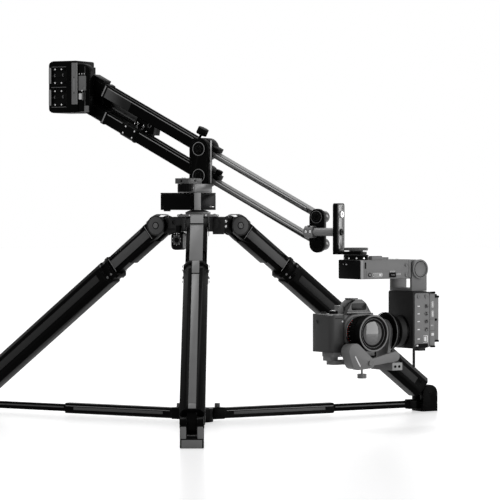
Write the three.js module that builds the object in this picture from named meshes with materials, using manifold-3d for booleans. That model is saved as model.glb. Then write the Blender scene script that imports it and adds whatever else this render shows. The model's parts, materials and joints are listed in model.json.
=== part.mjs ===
// Camera jib crane on a three-legged stand: a parallelogram arm on a pan box, a battery housing at the
// back end, and a remote head at the front end that carries a stills camera with a focus motor.
// Millimetres, +Z up. The origin is on the pan axis, at the floor. The photograph looks along +Y.
import * as THREE from 'three';
import { mergeVertices } from 'three/addons/utils/BufferGeometryUtils.js';
import Module from 'manifold-3d';

const wasm = await Module();
wasm.setup();

// General clearances and round counts
const gap = 0.3;
const overrun = 2;
const smallSides = 8;
const midSides = 16;
const largeSides = 24;
const arcSteps = 2;
const fluteLandShare = 0.5;
const fluteValleyShare = 0.75;

// Stand: legs
const legCount = 3;
const frontLegDegrees = -90;
const shoulderRadius = 95;
const shoulderHeight = 436;
const ankleRadius = 606;
const ankleHeight = 42;
const upperTubeWidth = 45;
const upperTubeBevel = 8;
const upperTubeStart = 30;
const upperTubeEnd = 110;
const innerTubeWidth = 37;
const innerTubeBevel = 7;
const innerTubeLength = 128;
const lowerTubeWidth = 51.5;
const lowerTubeBevel = 10;
const lowerTubeStart = 181;
const lowerBoreDepth = 72;
const lowerGrooveWidth = 16;
const lowerGrooveDepth = 1.2;
const lowerGrooveEndMargin = 14;
const collarStart = 152;
const collarLength = 9;
const collarSpacing = 21;
const collarWidth = 53;
const collarBevel = 12;
const collarNeckWidth = 46;
const clampScrewRadius = 3;
const clampScrewRise = 1.4;

// Stand: shoulder joint
const lugThickness = 16;
const lugRadius = 17;
const cheekRadius = 20;
const boltRadius = 4;
const boltHeadRadius = 6.5;
const boltHeadHeight = 2.4;

// Stand: crown
const hubRadius = 36;
const hubDrop = 13;
const hubRise = 19.6;
const hubBottom = shoulderHeight - hubDrop;
const hubTop = shoulderHeight + hubRise;
const hubArmWidth = 34;
const hubArmReach = 67;
const hubArmDrop = 6;
const hubArmBottom = shoulderHeight - hubArmDrop;
const hubPocketRadius = 6;
const hubPocketDepth = 4;
const topPlateRadius = 46.5;
const topPlateHeight = 5.3;
const topPlateRim = 1.6;
const topScrewRadius = 2.6;
const topScrewRing = 37;
const topScrewRise = 1.2;
const topScrewCount = 6;

// Pan bearing that stands on the top plate
const panDiscRadius = 28;
const panDiscHeight = 9;
const panConeRadius = 17;
const spindleRadius = 13;
const spindleReach = 26;

// Lock block on the right arm of the crown
const lockBlockLength = 25;
const lockBlockDepth = 12;
const lockBlockDrop = 19;
const lockBlockRise = 18;
const lockBlockBottom = shoulderHeight - lockBlockDrop;
const lockBlockTop = shoulderHeight + lockBlockRise;
const lockBlockX = 45.5;
const lockBlockY = -2;
const lockScrewRadius = 4.2;
const lockScrewRise = 2;
const lockScrewPitch = 11.5;
const lockScrewDrop = 13;
const lockScrewRowPitch = 12;

// Handset that hangs by the left arm of the crown
const podWidth = 28;
const podHeight = 40;
const podDepth = 22;
const podCorner = 10;
const podDrop = 13.6;
const podTop = shoulderHeight - podDrop;
const podAlong = 29.4;
const podHookWidth = 10;
const podHookShift = 9;
const podHookRise = 14;
const podHookDrop = 12;
const podHookThickness = 4;
const podKeyRadius = 5.5;
const podKeyRise = 1.8;
const podKeyTravel = 1;
const podKeyDrop = 18;
const podRimWidth = 2.4;
const podRimDepth = 0.8;

// Feet
const footWidth = 47.5;
const footLength = 45;
const footHeight = 17;
const footCorner = 5;
const ankleCheekRadius = 20;
const ankleSlot = 20;
const footPinRadius = 4;
const footPinRise = 1;
const footPadNotch = 3;
const tubeEndMargin = 23;
const tongueRadius = 16;

// Floor spreader
const spreaderHeight = 17;
const spreaderHubRadius = 34;
const spreaderHubTop = 30;
const spreaderScrewRadius = 4.5;
const spreaderScrewRise = 1.5;
const spreaderScrewRing = 24;
const spreaderHeadEnd = 62;
const spreaderHeadSize = 26;
const spreaderTubeSize = 23.5;
const spreaderTubeBevel = 3;
const spreaderTubeEnd = 349;
const spreaderBoreDepth = 60;
const spreaderRodSize = 16;
const spreaderRodBevel = 2.5;
const spreaderEndLength = 26;
const spreaderEndHeight = 22;
const spreaderGrooveWidth = 7;
const spreaderGrooveDepth = 1;
const spreaderKnobRadius = 6;
const spreaderKnobHeight = 9;
const spreaderKnobStem = 2.5;
const spreaderKnobStemLength = 7;
const spreaderKnobPlace = 49;
const spreaderKnobFlutes = 8;
const spreaderKnobFluteDepth = 0.5;

// Pan box, pedestal and post. Lengths run along the arm, widths across it.
const jibYaw = -28.5;
const panBoxFront = 25;
const panBoxBack = -72;
const panBoxWidth = 90;
const panBoxHeight = 38.2;
const panBoxCorner = 12;
const panBoxBackCorner = 5;
const panFootRadius = 8;
const panFootHeight = 3;
const panFootInset = 12;
const panSeamWidth = 0.8;
const panSeamDrop = 4;
const pedestalWidth = 77;
const pedestalHeight = 19.3;
const pedestalCorner = 8;
const postWidth = 48;
const postThickness = 19.4;
const postPinSpacing = 60;
const lowerPinMargin = 18.1;
const pinSetback = -9.3;
const armOffset = 54;
const postRebate = 1.4;
const postRebateMargin = 4;
const pinRadius = 6;
const pinHeadRadius = 13.8;
const pinHeadHeight = 2.2;
const pinHeadGroove = 1;
const pinHeadGrooveInner = 8;
const pinHeadGrooveOuter = 10.5;
const pinEndRadius = 9;
const pinEndHeight = 3;

// Silver bracket beside the post, with its knob
const lockBracketFront = 13;
const lockBracketBack = -22;
const lockBracketInner = 6;
const lockBracketOuter = 66;
const lockBracketHeight = 12;
const lockBracketCorner = 4;
const lockBracketHole = 3;
const lockBracketHoleDepth = 5;
const lockKnobRadius = 15.4;
const lockKnobHeight = 17;
const lockKnobFlutes = 14;
const lockKnobFluteDepth = 1.1;
const lockKnobAlong = -3;
const lockKnobOut = 54.6;
const lockKnobStem = 4;
const lockKnobStemLength = 8;

// Arm
const armPitch = 27.5;
const frontArmLength = 327;
const rearArmLength = 333;
const beamWidth = 30;
const upperBeamHeight = 28;
const lowerBeamHeight = 28;
const beamBevel = 2.5;
const beamGrooveWidth = 12;
const beamGrooveDepth = 2;
const beamGrooveMargin = 30;
const knuckleRadius = 25;
const knucklePocket = 11;
const knuckleJawLength = 9;
const knuckleJawRise = 10;
const sleevePlace = 95;
const sleeveLength = 42;
const sleeveStart = sleevePlace - rearArmLength;
const sleeveEnd = sleeveStart + sleeveLength;
const sleeveWall = 2;
const sleeveLip = 0.8;
const sleeveLipLength = 5;
const armCollarInset = 37;
const armCollarPlace = armCollarInset - rearArmLength;
const armCollarLength = 9;
const armCollarWall = 2;
const rearEyeRadius = 12.4;
const barWidth = 26;
const barHeight = 12;
const barBevel = 1.6;
const barHubRadius = 13.5;
const barScrewRadius = 4;
const barScrewDepth = 0.8;
const barScrewInset = 31;
const clampScrewPlace = -27;
const lowerClampPlace = 26;
const clampKnobRadius = 12.5;
const clampKnobHeight = 15;
const clampKnobStem = 3;
const clampKnobNeck = 9;
const clampKnobSeat = 8;
const clampKnobFlutes = 12;
const clampKnobFluteDepth = 0.9;
const lowerClampRadius = 8;
const lowerClampHeight = 9;
const lowerClampNeck = 1;

// Tilt motor beside the beams, and the block on the upper beam's rear end
const motorRadius = 15.5;
const motorPlace = 8;
const motorLength = 89;
const motorStart = motorPlace - rearArmLength;
const motorEnd = motorStart + motorLength;
const gearboxLength = 56;
const gearboxWidth = 29;
const gearboxHeight = 31;
const gearboxSlope = 9;
const motorFootLength = 14;
const motorFootDepth = 8;
const motorFootDrop = 10;
const rearBlockInset = -4;
const rearBlockLength = 35;
const rearBlockStart = rearBlockInset - rearArmLength;
const rearBlockEnd = rearBlockStart + rearBlockLength;
const rearBlockRise = 6.5;

// Battery housing and its nose
const noseFront = 9;
const noseBack = -22;
const noseBottom = -75;
const noseTop = 43;
const noseWidth = 68;
const noseRound = 18;
const noseSlot = 31.4;
const noseWall = 5;
const noseHeel = -66;
const noseHeelFront = -6;
const noseFarRadius = 14;
const noseFarThickness = 9;
const noseWebTop = 38;
const nosePinRadius = 5;
const nosePinHead = 8;
const nosePinHeadHeight = 2;
const moduleLength = 80;
const moduleWidth = 72;
const moduleBottom = -68;
const moduleTop = 51;
const moduleCorner = 15;
const moduleFrontCorner = 5;
const bayLength = 41;
const bayHeight = 37;
const bayDepth = 9;
const bayPitch = 50;
const bayInset = 9;
const baySlotHeight = 27;
const baySlotWidth = 3;
const baySlotDepth = 1.6;
const plateThickness = 4;
const plateRailWidth = 5;
const plateRailRise = 3.6;
const plateRailCount = 3;
const contactLength = 6;
const contactRise = 2.6;
const switchWell = 6;
const switchWellHeight = 17;
const switchWellDepth = 3;
const switchWidth = 5.2;
const switchHeight = 8;
const switchRise = 2;
const switchDrop = -18;
const switchAlong = -4;

// Front bracket and the offset that carries the head
const frontPlateWidth = 36;
const frontPlateThickness = 11;
const frontPinRadius = 5;
const frontPinHead = 11;
const frontPinHeadHeight = 2;
const frontRingGroove = 1;
const frontRingInner = 12.5;
const frontRingOuter = 14.5;
const offsetOut = 35;
const offsetRise = -2.5;
const offsetRodRadius = 9;
const offsetRodBack = -24;
const clampLength = 20;
const clampBack = -20;
const clampHeight = 26;
const clampCorner = 6;
const clampSplit = 1.6;
const clampBoltRadius = 3.2;
const clampBoltRise = 1.8;
const bracketAlong = 54;
const bracketThickness = 10;
const bracketWidth = 37;
const bracketDrop = 48.2;
const bracketRise = 62.5;
const bracketFootLength = 66;
const bracketFootThickness = 6.3;
const bracketCorner = 6;
const bracketBoltRadius = 7.5;
const bracketBoltRise = 3.4;
const bracketBoltHex = 3;
const mountKnobRadius = 26;
const mountKnobHeight = 6;
const mountKnobNeck = 15;
const mountKnobNeckHeight = 2.2;
const mountKnobStem = 5;
const mountKnobFlutes = 20;
const mountKnobFluteDepth = 0.7;

// Remote head. Its own frame has X along the box and Y away from the lens.
const headYaw = 36;
const headAxisAlong = 101;
const headBoxBack = -18;
const headBoxFront = 122;
const headBoxWidth = 76;
const headBoxHeight = 41.4;
const headBoxBevel = 3;
const headBearingRadius = 26;
const headBearingHeight = 11;
const headBearingGroove = 1.2;
const headPadLength = 26;
const headPadWidth = 40;
const headPadHeight = 5;
const headPadPlace = 48;
const headPanelDepth = 1.2;
const headPanelLength = 46;
const headPanelHeight = 26;
const headPanelPlace = 42;
const headSeamWidth = 1;
const headSeamPlace = 100;
const headButtonRadius = 4;
const headButtonRise = 1;
const hingeAlong = 145.8;
const hingeDrop = 21.6;
const hingeRadius = 21;
const hingePinRadius = 6;
const hingePinDepth = 10;
const hingeCapRadius = 21.3;
const hingeCapRise = 4.6;
const hingeCapDish = 1;
const hingeCapDishRadius = 15;
const yokeThickness = 6.6;
const yokeWidth = 42;
const yokeCrossHeight = 6;
const tiltBoxBack = 121;
const tiltBoxFront = 161;
const tiltBoxLeft = -46.6;
const tiltBoxRight = 38;
const tiltBoxGap = 28.1;
const tiltBoxHeight = 124.5;
const tiltBoxBevel = 3;
const portBlockEnd = 183;
const portBlockMargin = 2.5;
const coverEnd = 196.5;
const coverBottomMargin = 17;
const coverTopMargin = 10.5;
const coverInset = 4;
const portRadius = 4.6;
const portDepth = 2.5;
const portRimRadius = 6;
const portRimDepth = 0.8;
const portCount = 4;
const portPitch = 17.4;
const portTopDrop = 25;
const portAlong = 146;
const squarePort = 12;
const slotPortHeight = 13;
const slotPortWidth = 6;
const slotPortAlong = 170;
const leverRadius = 3;
const leverLength = 42;
const leverInset = 14;
const leverFootLength = 18;
const leverFootHeight = 6;
const capHeight = 3;
const capInset = 6;

// Tilt axis
const tiltAxisRise = 36.5;
const tiltForward = -4.3;
const motorBossRadius = 35;
const motorBossInner = 98;
const rotorDiscRadius = 30;
const rotorDiscInner = 85;
const flangeRadius = 42;
const flangeInner = 76.3;
const flangeStep = 3;
const flangeHubRadius = 12;

// Cradle under the camera
const cradlePlateThickness = 8;
const cradlePlateRadius = 28;
const cradleFootRadius = 16;
const cradleBaseDrop = 27;
const cradleBaseThickness = 9;
const cradleBaseWidth = 30;
const cradleBaseReach = -76;
const cradleBarInner = 52;
const cradleBarOuter = 80;
const cradleBarFront = -60;
const cradleBarBack = 12;
const cradleBarDrop = 41.5;
const cradleBarHeight = 16.5;
const cameraPlateLeft = -80;
const cameraPlateRight = 32;
const cameraPlateWidth = 40;
const cameraPlateThickness = 9.5;
const plateStopLeft = -84;
const plateStopLength = 22;
const plateStopWidth = 24;
const cradleSlotLength = 40;
const cradleSlotWidth = 8;
const shoeLength = 50;
const shoeWidth = 36;
const shoeTaper = 5;
const railSpacing = 44;
const railRadius = 4;
const railPlace = -16;

// Camera
const bodyLeft = -87;
const bodyRight = 52;
const bodyBack = 48;
const bodyFront = -2;
const bodyHeight = 81;
const bodyDrop = 40.5;
const prismHeight = 30.5;
const bodyCorner = 12;
const gripFront = -25;
const gripWidth = 42;
const gripCorner = 11;
const gripStep = 2;
const prismHalfBase = 36;
const prismHalfTop = 17;
const prismBack = 26;
const prismFront = -10;
const shoeHalf = 10;
const hotShoeHeight = 2.4;
const mountRadius = 35;
const mountFront = -10;
const lensRise = 1;
const screenWidth = 70;
const screenHeight = 46;
const screenDepth = 1.2;
const dialRadius = 11;
const dialHeight = 6;
const dialPlace = 36;
const shutterRadius = 4.5;
const shutterHeight = 3;
const shutterTravel = 1.2;
const shutterPlace = -68;
const shutterWell = 2;
const lugLoop = 4;
const lugThick = 3;
const lugDrop = 16;
const eyepieceWidth = 34;
const eyepieceHeight = 18;
const eyepieceDepth = 6;

// Lens and focus drive
const lensBack = 10.3;
const lensScaleEnd = 24;
const focusRingEnd = 38;
const lensFront = 62;
const lensBaseRadius = 31;
const lensScaleRadius = 35;
const lensCoreRadius = 33;
const lensFrontRadius = 39.5;
const lensOpening = 31;
const lensDish = 9;
const lensGlassBulge = 4;
const focusRingRadius = 37.4;
const focusTeeth = 40;
const focusToothDepth = 1.1;
const gearTeeth = 18;
const gearRadius = 17.6;
const gearToothDepth = 1.1;
const gearMeshGap = 0.5;
const gearDrop = 38;
const gearWidth = 8;
const gearShaftRadius = 3;
const gearCaseFront = 66;
const gearCaseWidth = 30;
const gearCasePlate = 12;
const gearCaseInset = 1.2;
const gearCaseRadius = 17.6;
const gearCaseShift = 12;
const gearCaseEndRadius = 11;
const gearCaseEndAlong = 40;
const gearCaseEndDrop = 25.5;
const gearCaseLowRadius = 15.5;
const gearCaseLowAlong = 7.3;
const gearCaseLowDrop = 23.5;
const linkRadius = 7;
const linkEndRadius = 10.6;
const linkInset = 5;
const linkFront = linkInset - gearCaseFront;
const linkThickness = 8;
const linkAlong = 74;
const linkRise = 12;
const focusPivotRadius = 5.5;
const focusPivotRise = 2.4;
const thumbStemRadius = 2.2;
const thumbStemLength = 12;
const thumbHeadRadius = 10;
const thumbHeadHeight = 9.5;
const thumbScrewShift = 11.6;

// Finishes
const finish = (color, roughness, metalness) => new THREE.MeshStandardMaterial({ color, roughness,
  metalness });
const blackPaint = finish(0x141416, 0.45, 0.3);
const greyPaint = finish(0x55575a, 0.5, 0.4);
const silver = finish(0xc4c6c8, 0.3, 0.9);
const blackPlastic = finish(0x1b1b1d, 0.55, 0);
const greyPanel = finish(0x7d7f82, 0.5, 0.2);
const rubber = finish(0x0f0f10, 0.85, 0);
const leather = finish(0x1c1c1e, 0.75, 0);

// Solids from three.js geometry
const radians = THREE.MathUtils.degToRad;

function toSolid(geometry) {
  const bare = geometry.clone();
  bare.deleteAttribute('normal');
  bare.deleteAttribute('uv');
  const merged = mergeVertices(bare);
  const vertProperties = new Float32Array(merged.attributes.position.array);
  const triVerts = new Uint32Array(merged.index.array);
  return new wasm.Manifold(new wasm.Mesh({ numProp: 3, vertProperties, triVerts }));
}

function toGeometry(solid) {
  const mesh = solid.getMesh();
  const geometry = new THREE.BufferGeometry();
  geometry.setAttribute('position', new THREE.BufferAttribute(mesh.vertProperties, 3));
  geometry.setIndex(new THREE.BufferAttribute(mesh.triVerts, 1));
  return geometry;
}

function fuse(...geometries) {
  return toGeometry(geometries.map(toSolid).reduce((joined, next) => joined.add(next)));
}

function cut(body, ...tools) {
  return toGeometry(tools.map(toSolid).reduce((left, tool) => left.subtract(tool), toSolid(body)));
}

// A box between two corners
function boxBetween(low, high) {
  const size = high.map((value, axis) => value - low[axis]);
  const centre = high.map((value, axis) => (value + low[axis]) / 2);
  return new THREE.BoxGeometry(...size).translate(...centre);
}

// A cylinder between two distances along an axis through a centre
function cylinderAlong(axis, radius, from, to, centre, sides = midSides) {
  const length = to - from;
  const geometry = new THREE.CylinderGeometry(radius, radius, length, sides);
  const middle = (from + to) / 2;
  if (axis === 'x') geometry.rotateZ(-Math.PI / 2).translate(middle, centre[0], centre[1]);
  if (axis === 'y') geometry.translate(centre[0], middle, centre[1]);
  if (axis === 'z') geometry.rotateX(Math.PI / 2).translate(centre[0], centre[1], middle);
  return geometry;
}

// A rectangle with one radius for each corner, anticlockwise from the low corner
function roundedRectangle(left, bottom, right, top, radii) {
  const [leftBottom, rightBottom, rightTop, leftTop] = radii;
  const shape = new THREE.Shape();
  shape.moveTo(left + leftBottom, bottom);
  shape.lineTo(right - rightBottom, bottom);
  if (rightBottom) shape.absarc(right - rightBottom, bottom + rightBottom, rightBottom, -Math.PI / 2, 0);
  shape.lineTo(right, top - rightTop);
  if (rightTop) shape.absarc(right - rightTop, top - rightTop, rightTop, 0, Math.PI / 2);
  shape.lineTo(left + leftTop, top);
  if (leftTop) shape.absarc(left + leftTop, top - leftTop, leftTop, Math.PI / 2, Math.PI);
  shape.lineTo(left, bottom + leftBottom);
  if (leftBottom) shape.absarc(left + leftBottom, bottom + leftBottom, leftBottom, Math.PI, 1.5 * Math.PI);
  return shape;
}

function bevelledSquare(width, height, bevel) {
  const right = width / 2;
  const top = height / 2;
  const shape = new THREE.Shape();
  shape.moveTo(bevel - right, -top);
  shape.lineTo(right - bevel, -top);
  shape.lineTo(right, bevel - top);
  shape.lineTo(right, top - bevel);
  shape.lineTo(right - bevel, top);
  shape.lineTo(bevel - right, top);
  shape.lineTo(-right, top - bevel);
  shape.lineTo(-right, bevel - top);
  shape.closePath();
  return shape;
}

// A stadium between two centres, with a radius at each end
function stadium(from, fromRadius, to, toRadius, steps = midSides / 2) {
  const along = Math.atan2(to[1] - from[1], to[0] - from[0]);
  const distance = Math.hypot(to[0] - from[0], to[1] - from[1]);
  const lean = Math.asin((fromRadius - toRadius) / distance);
  const points = [];
  const sweep = (centre, radius, start, end) => {
    for (let step = 0; step <= steps; step += 1) {
      const angle = start + ((end - start) * step) / steps;
      points.push(new THREE.Vector2(centre[0] + radius * Math.cos(angle),
        centre[1] + radius * Math.sin(angle)));
    }
  };
  sweep(to, toRadius, along - Math.PI / 2 + lean, along + Math.PI / 2 - lean);
  sweep(from, fromRadius, along + Math.PI / 2 - lean, along + 1.5 * Math.PI + lean);
  return new THREE.Shape(points);
}

// Extrusions of an outline: up Z, along X (outline in Y and Z), or along Y (outline in X and Z)
function extrudeUp(shape, from, to) {
  const settings = { depth: to - from, bevelEnabled: false, curveSegments: arcSteps };
  return new THREE.ExtrudeGeometry(shape, settings).translate(0, 0, from);
}

function extrudeAlong(shape, from, to) {
  return extrudeUp(shape, from, to).rotateX(Math.PI / 2).rotateZ(Math.PI / 2);
}

function extrudeAcross(shape, from, to) {
  return extrudeUp(shape, -to, -from).rotateX(Math.PI / 2);
}

// A body of revolution about the upright axis. Each profile point is a radius and a height.
function revolve(profile, sides = midSides) {
  const points = profile.map(([radius, height]) => new THREE.Vector2(radius, height));
  return new THREE.LatheGeometry(points, sides).rotateX(Math.PI / 2);
}

// A fluted outline for knobs and toothed rings
function flutedCircle(radius, depth, count) {
  const points = [];
  for (let flute = 0; flute < count; flute += 1) {
    const pitch = (2 * Math.PI) / count;
    const places = [[0, radius], [fluteLandShare, radius], [fluteValleyShare, radius - depth]];
    for (const [share, reach] of places) {
      const angle = (flute + share) * pitch;
      points.push(new THREE.Vector2(reach * Math.cos(angle), reach * Math.sin(angle)));
    }
  }
  return new THREE.Shape(points);
}

function mesh(name, geometry, material) {
  const piece = new THREE.Mesh(geometry, material.clone());
  piece.name = name;
  return piece;
}

function groupAt(x, y, z, yawDegrees = 0) {
  const group = new THREE.Group();
  group.position.set(x, y, z);
  group.rotation.z = radians(yawDegrees);
  return group;
}

// Legs. Each leg has its own frame: X runs down the leg from the shoulder bolt, Z is its upper side.
const legRun = ankleRadius - shoulderRadius;
const legDrop = shoulderHeight - ankleHeight;
const legSlope = Math.atan2(legDrop, legRun);
const legLength = Math.hypot(legRun, legDrop);
const lowerTubeEnd = legLength - tubeEndMargin;
const legNames = ['front', 'right', 'left'];
const legYaw = (index) => frontLegDegrees + (index * 360) / legCount;

function upperLeg() {
  const cheekWidth = (upperTubeWidth - lugThickness) / 2 - gap;
  const cheekOutline = stadium([0, 0], cheekRadius, [upperTubeStart, 0], upperTubeWidth / 2 - overrun);
  const innerEnd = upperTubeEnd + innerTubeLength;
  const tubes = fuse(
    extrudeAlong(bevelledSquare(upperTubeWidth, upperTubeWidth, upperTubeBevel), upperTubeStart,
      upperTubeEnd),
    extrudeAlong(bevelledSquare(innerTubeWidth, innerTubeWidth, innerTubeBevel), upperTubeEnd - gap,
      innerEnd),
    extrudeAcross(cheekOutline, upperTubeWidth / 2 - cheekWidth, upperTubeWidth / 2),
    extrudeAcross(cheekOutline, -upperTubeWidth / 2, cheekWidth - upperTubeWidth / 2),
  );
  return fuse(tubes, shoulderBolt());
}

function lowerLeg() {
  const tube = extrudeAlong(
    bevelledSquare(lowerTubeWidth, lowerTubeWidth, lowerTubeBevel), lowerTubeStart, lowerTubeEnd);
  const neckOutline = bevelledSquare(collarNeckWidth, collarNeckWidth, upperTubeBevel);
  const collarOutline = bevelledSquare(collarWidth, collarWidth, collarBevel);
  const collars = [0, 1].map((place) => {
    const start = collarStart + place * collarSpacing;
    return extrudeAlong(collarOutline, start, start + collarLength);
  });
  const screws = [0, 1].map((place) => {
    const along = collarStart + place * collarSpacing + collarLength / 2;
    const reach = collarWidth / 2 + clampScrewRise;
    return cylinderAlong('y', clampScrewRadius, -reach, reach, [along, 0], smallSides);
  });
  const neck = extrudeAlong(neckOutline, collarStart + gap, lowerTubeStart + gap);
  const tongue = extrudeAcross(
    stadium([lowerTubeEnd - overrun, 0], tongueRadius, [legLength, 0], tongueRadius - overrun),
    gap - ankleSlot / 2, ankleSlot / 2 - gap);
  const boreSize = innerTubeWidth + 2 * gap;
  const boreOutline = bevelledSquare(boreSize, boreSize, innerTubeBevel);
  const bore = extrudeAlong(boreOutline, collarStart - overrun, lowerTubeStart + lowerBoreDepth);
  const pinHole = cylinderAlong('y', footPinRadius + gap, -ankleSlot, ankleSlot, [legLength, 0], smallSides);
  const grooveStart = lowerTubeStart + lowerGrooveEndMargin;
  const grooveEnd = lowerTubeEnd - lowerGrooveEndMargin;
  const half = lowerTubeWidth / 2;
  const groove = lowerGrooveWidth / 2;
  const grooves = [
    boxBetween([grooveStart, -groove, half - lowerGrooveDepth], [grooveEnd, groove, half + overrun]),
    boxBetween([grooveStart, half - lowerGrooveDepth, -groove], [grooveEnd, half + overrun, groove]),
    boxBetween([grooveStart, -half - overrun, -groove], [grooveEnd, lowerGrooveDepth - half, groove]),
  ];
  return cut(fuse(tube, neck, tongue, ...collars, ...screws), bore, pinHole, ...grooves);
}

// A foot has two cheeks for the leg's tongue and a flat sole, in a frame whose X points outwards
function footGeometry() {
  const outline = roundedRectangle(
    -footLength / 2, -footWidth / 2, footLength / 2, footWidth / 2, Array(4).fill(footCorner));
  const sole = extrudeUp(outline, 0, footHeight);
  const cheekBlock = extrudeAcross(
    stadium([0, footHeight - ankleCheekRadius / 2], ankleCheekRadius, [0, ankleHeight], ankleCheekRadius),
    -footWidth / 2, footWidth / 2);
  const slotFloor = ankleHeight - tongueRadius - overrun;
  const slot = boxBetween(
    [-footLength, -ankleSlot / 2, slotFloor], [footLength, ankleSlot / 2,
      ankleHeight + 2 * ankleCheekRadius]);
  const below = boxBetween([-footLength, -footWidth, -footLength], [footLength, footWidth, 0]);
  const pinReach = footWidth / 2 + footPinRise;
  const pin = cylinderAlong('y', footPinRadius, -pinReach, pinReach, [0, ankleHeight], smallSides);
  const notchTop = footHeight + footPadNotch;
  const notches = [-1, 1].map((side) => {
    const inner = side * (footLength / 2 - footPadNotch);
    const outer = side * footLength;
    return boxBetween(
      [Math.min(inner, outer), -footWidth, footHeight], [Math.max(inner, outer), footWidth, notchTop]);
  });
  return fuse(cut(fuse(sole, cheekBlock), slot, below, ...notches), pin);
}

function shoulderBolt() {
  const half = upperTubeWidth / 2;
  const end = half + boltHeadHeight;
  return fuse(
    cylinderAlong('y', boltRadius, -end, end, [0, 0], smallSides),
    cylinderAlong('y', boltHeadRadius, half - gap, end, [0, 0], smallSides),
    cylinderAlong('y', boltHeadRadius, -end, gap - half, [0, 0], smallSides),
  );
}

function crown() {
  const arms = legNames.map((name, index) => {
    const turn = radians(legYaw(index));
    const lugOutline = stadium(
      [hubArmReach - lugRadius, shoulderHeight], lugRadius, [shoulderRadius, shoulderHeight], lugRadius);
    return fuse(
      boxBetween([0, -hubArmWidth / 2, hubArmBottom], [hubArmReach, hubArmWidth / 2, hubTop]),
      extrudeAcross(lugOutline, -lugThickness / 2, lugThickness / 2),
    ).rotateZ(turn);
  });
  const boltHoles = legNames.map((name, index) =>
    cylinderAlong('y', boltRadius + gap, -hubArmWidth, hubArmWidth, [shoulderRadius, shoulderHeight],
      smallSides)
      .rotateZ(radians(legYaw(index))));
  const pockets = legNames.flatMap((name, index) => [-1, 1].map((side) => {
    const face = side * hubArmWidth / 2;
    const centre = [(hubArmReach + hubRadius) / 2, (hubArmBottom + hubTop) / 2];
    const low = Math.min(face - side * hubPocketDepth, face + side * overrun);
    const high = Math.max(face - side * hubPocketDepth, face + side * overrun);
    return cylinderAlong('y', hubPocketRadius, low, high, centre, smallSides).rotateZ(radians(legYaw(index)));
  }));
  const blockFront = lockBlockY - lockBlockDepth;
  const block = boxBetween(
    [lockBlockX - lockBlockLength / 2, blockFront, lockBlockBottom],
    [lockBlockX + lockBlockLength / 2, lockBlockY + lockBlockDepth, lockBlockTop]);
  const screws = [-1, 1].flatMap((side) => [0, 1].map((row) => {
    const height = lockBlockTop - lockScrewDrop + lockScrewRowPitch / 2 - row * lockScrewRowPitch;
    const along = lockBlockX + (side * lockScrewPitch) / 2;
    return cylinderAlong('y', lockScrewRadius, blockFront - lockScrewRise, blockFront + overrun,
      [along, height], smallSides);
  }));
  const centre = cylinderAlong('z', hubRadius, hubBottom, hubTop, [0, 0], largeSides);
  return cut(fuse(centre, ...arms, block, ...screws), ...boltHoles, ...pockets);
}

function topPlate() {
  const bottom = hubTop + gap;
  const top = bottom + topPlateHeight;
  const disc = revolve([
    [0, bottom], [topPlateRadius - topPlateRim, bottom], [topPlateRadius, bottom + topPlateRim],
    [topPlateRadius, top - topPlateRim], [topPlateRadius - topPlateRim, top], [0, top],
  ], largeSides);
  const screws = Array.from({ length: topScrewCount }, (_, index) => {
    const angle = (index * 2 * Math.PI) / topScrewCount;
    const centre = [topScrewRing * Math.cos(angle), topScrewRing * Math.sin(angle)];
    return cylinderAlong('z', topScrewRadius, top - overrun, top + topScrewRise, centre, smallSides / 2);
  });
  return fuse(disc, ...screws);
}

const topPlateTop = hubTop + gap + topPlateHeight;
const panBoxBottom = topPlateTop + panDiscHeight + 2 * gap;
const panBoxTop = panBoxBottom + panBoxHeight;

function panSpindle() {
  const bottom = topPlateTop + gap;
  const discTop = panBoxBottom - gap;
  const waist = discTop - panDiscHeight / 2;
  return revolve([
    [0, bottom], [panDiscRadius, bottom], [panDiscRadius, waist], [panConeRadius, discTop],
    [spindleRadius, discTop], [spindleRadius, discTop + spindleReach], [0, discTop + spindleReach],
  ], largeSides);
}

// Handset, whose hook lies against the near side of the crown's left arm
function handset() {
  const outline = (margin) => {
    const width = podWidth / 2 - margin;
    const corner = podCorner - margin / 2;
    return roundedRectangle(-width, podTop - podHeight + margin, width, podTop - margin,
      Array(4).fill(corner));
  };
  const hook = boxBetween(
    [-podHookShift - podHookWidth / 2, podDepth / 2 - overrun, podTop - podHookDrop],
    [podHookWidth / 2 - podHookShift, podDepth / 2 + podHookThickness, podTop + podHookRise]);
  const body = extrudeAcross(outline(0), -podDepth / 2, podDepth / 2);
  const faceRecess = extrudeAcross(outline(podRimWidth), -podDepth / 2 - overrun, podRimDepth - podDepth / 2);
  const well = cylinderAlong('y', podKeyRadius + gap, -podDepth,
    podKeyTravel + gap + podRimDepth - podDepth / 2,
    [0, podTop - podKeyDrop], midSides);
  return cut(fuse(body, hook), faceRecess, well);
}

function handsetKey() {
  const seat = podRimDepth - podDepth / 2;
  return cylinderAlong('y', podKeyRadius, seat - podKeyRise, seat, [0, podTop - podKeyDrop], midSides);
}

// Floor spreader arms, in frames whose X points along the arm
function spreaderHub() {
  const disc = cylinderAlong('z', spreaderHubRadius, 0, spreaderHubTop, [0, 0], largeSides);
  const screws = legNames.map((name, index) => {
    const angle = radians(legYaw(index) + 180 / legCount);
    const centre = [spreaderScrewRing * Math.cos(angle), spreaderScrewRing * Math.sin(angle)];
    return cylinderAlong('z', spreaderScrewRadius, spreaderHubTop - overrun,
      spreaderHubTop + spreaderScrewRise,
      centre, smallSides);
  });
  return fuse(disc, ...screws);
}

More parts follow.
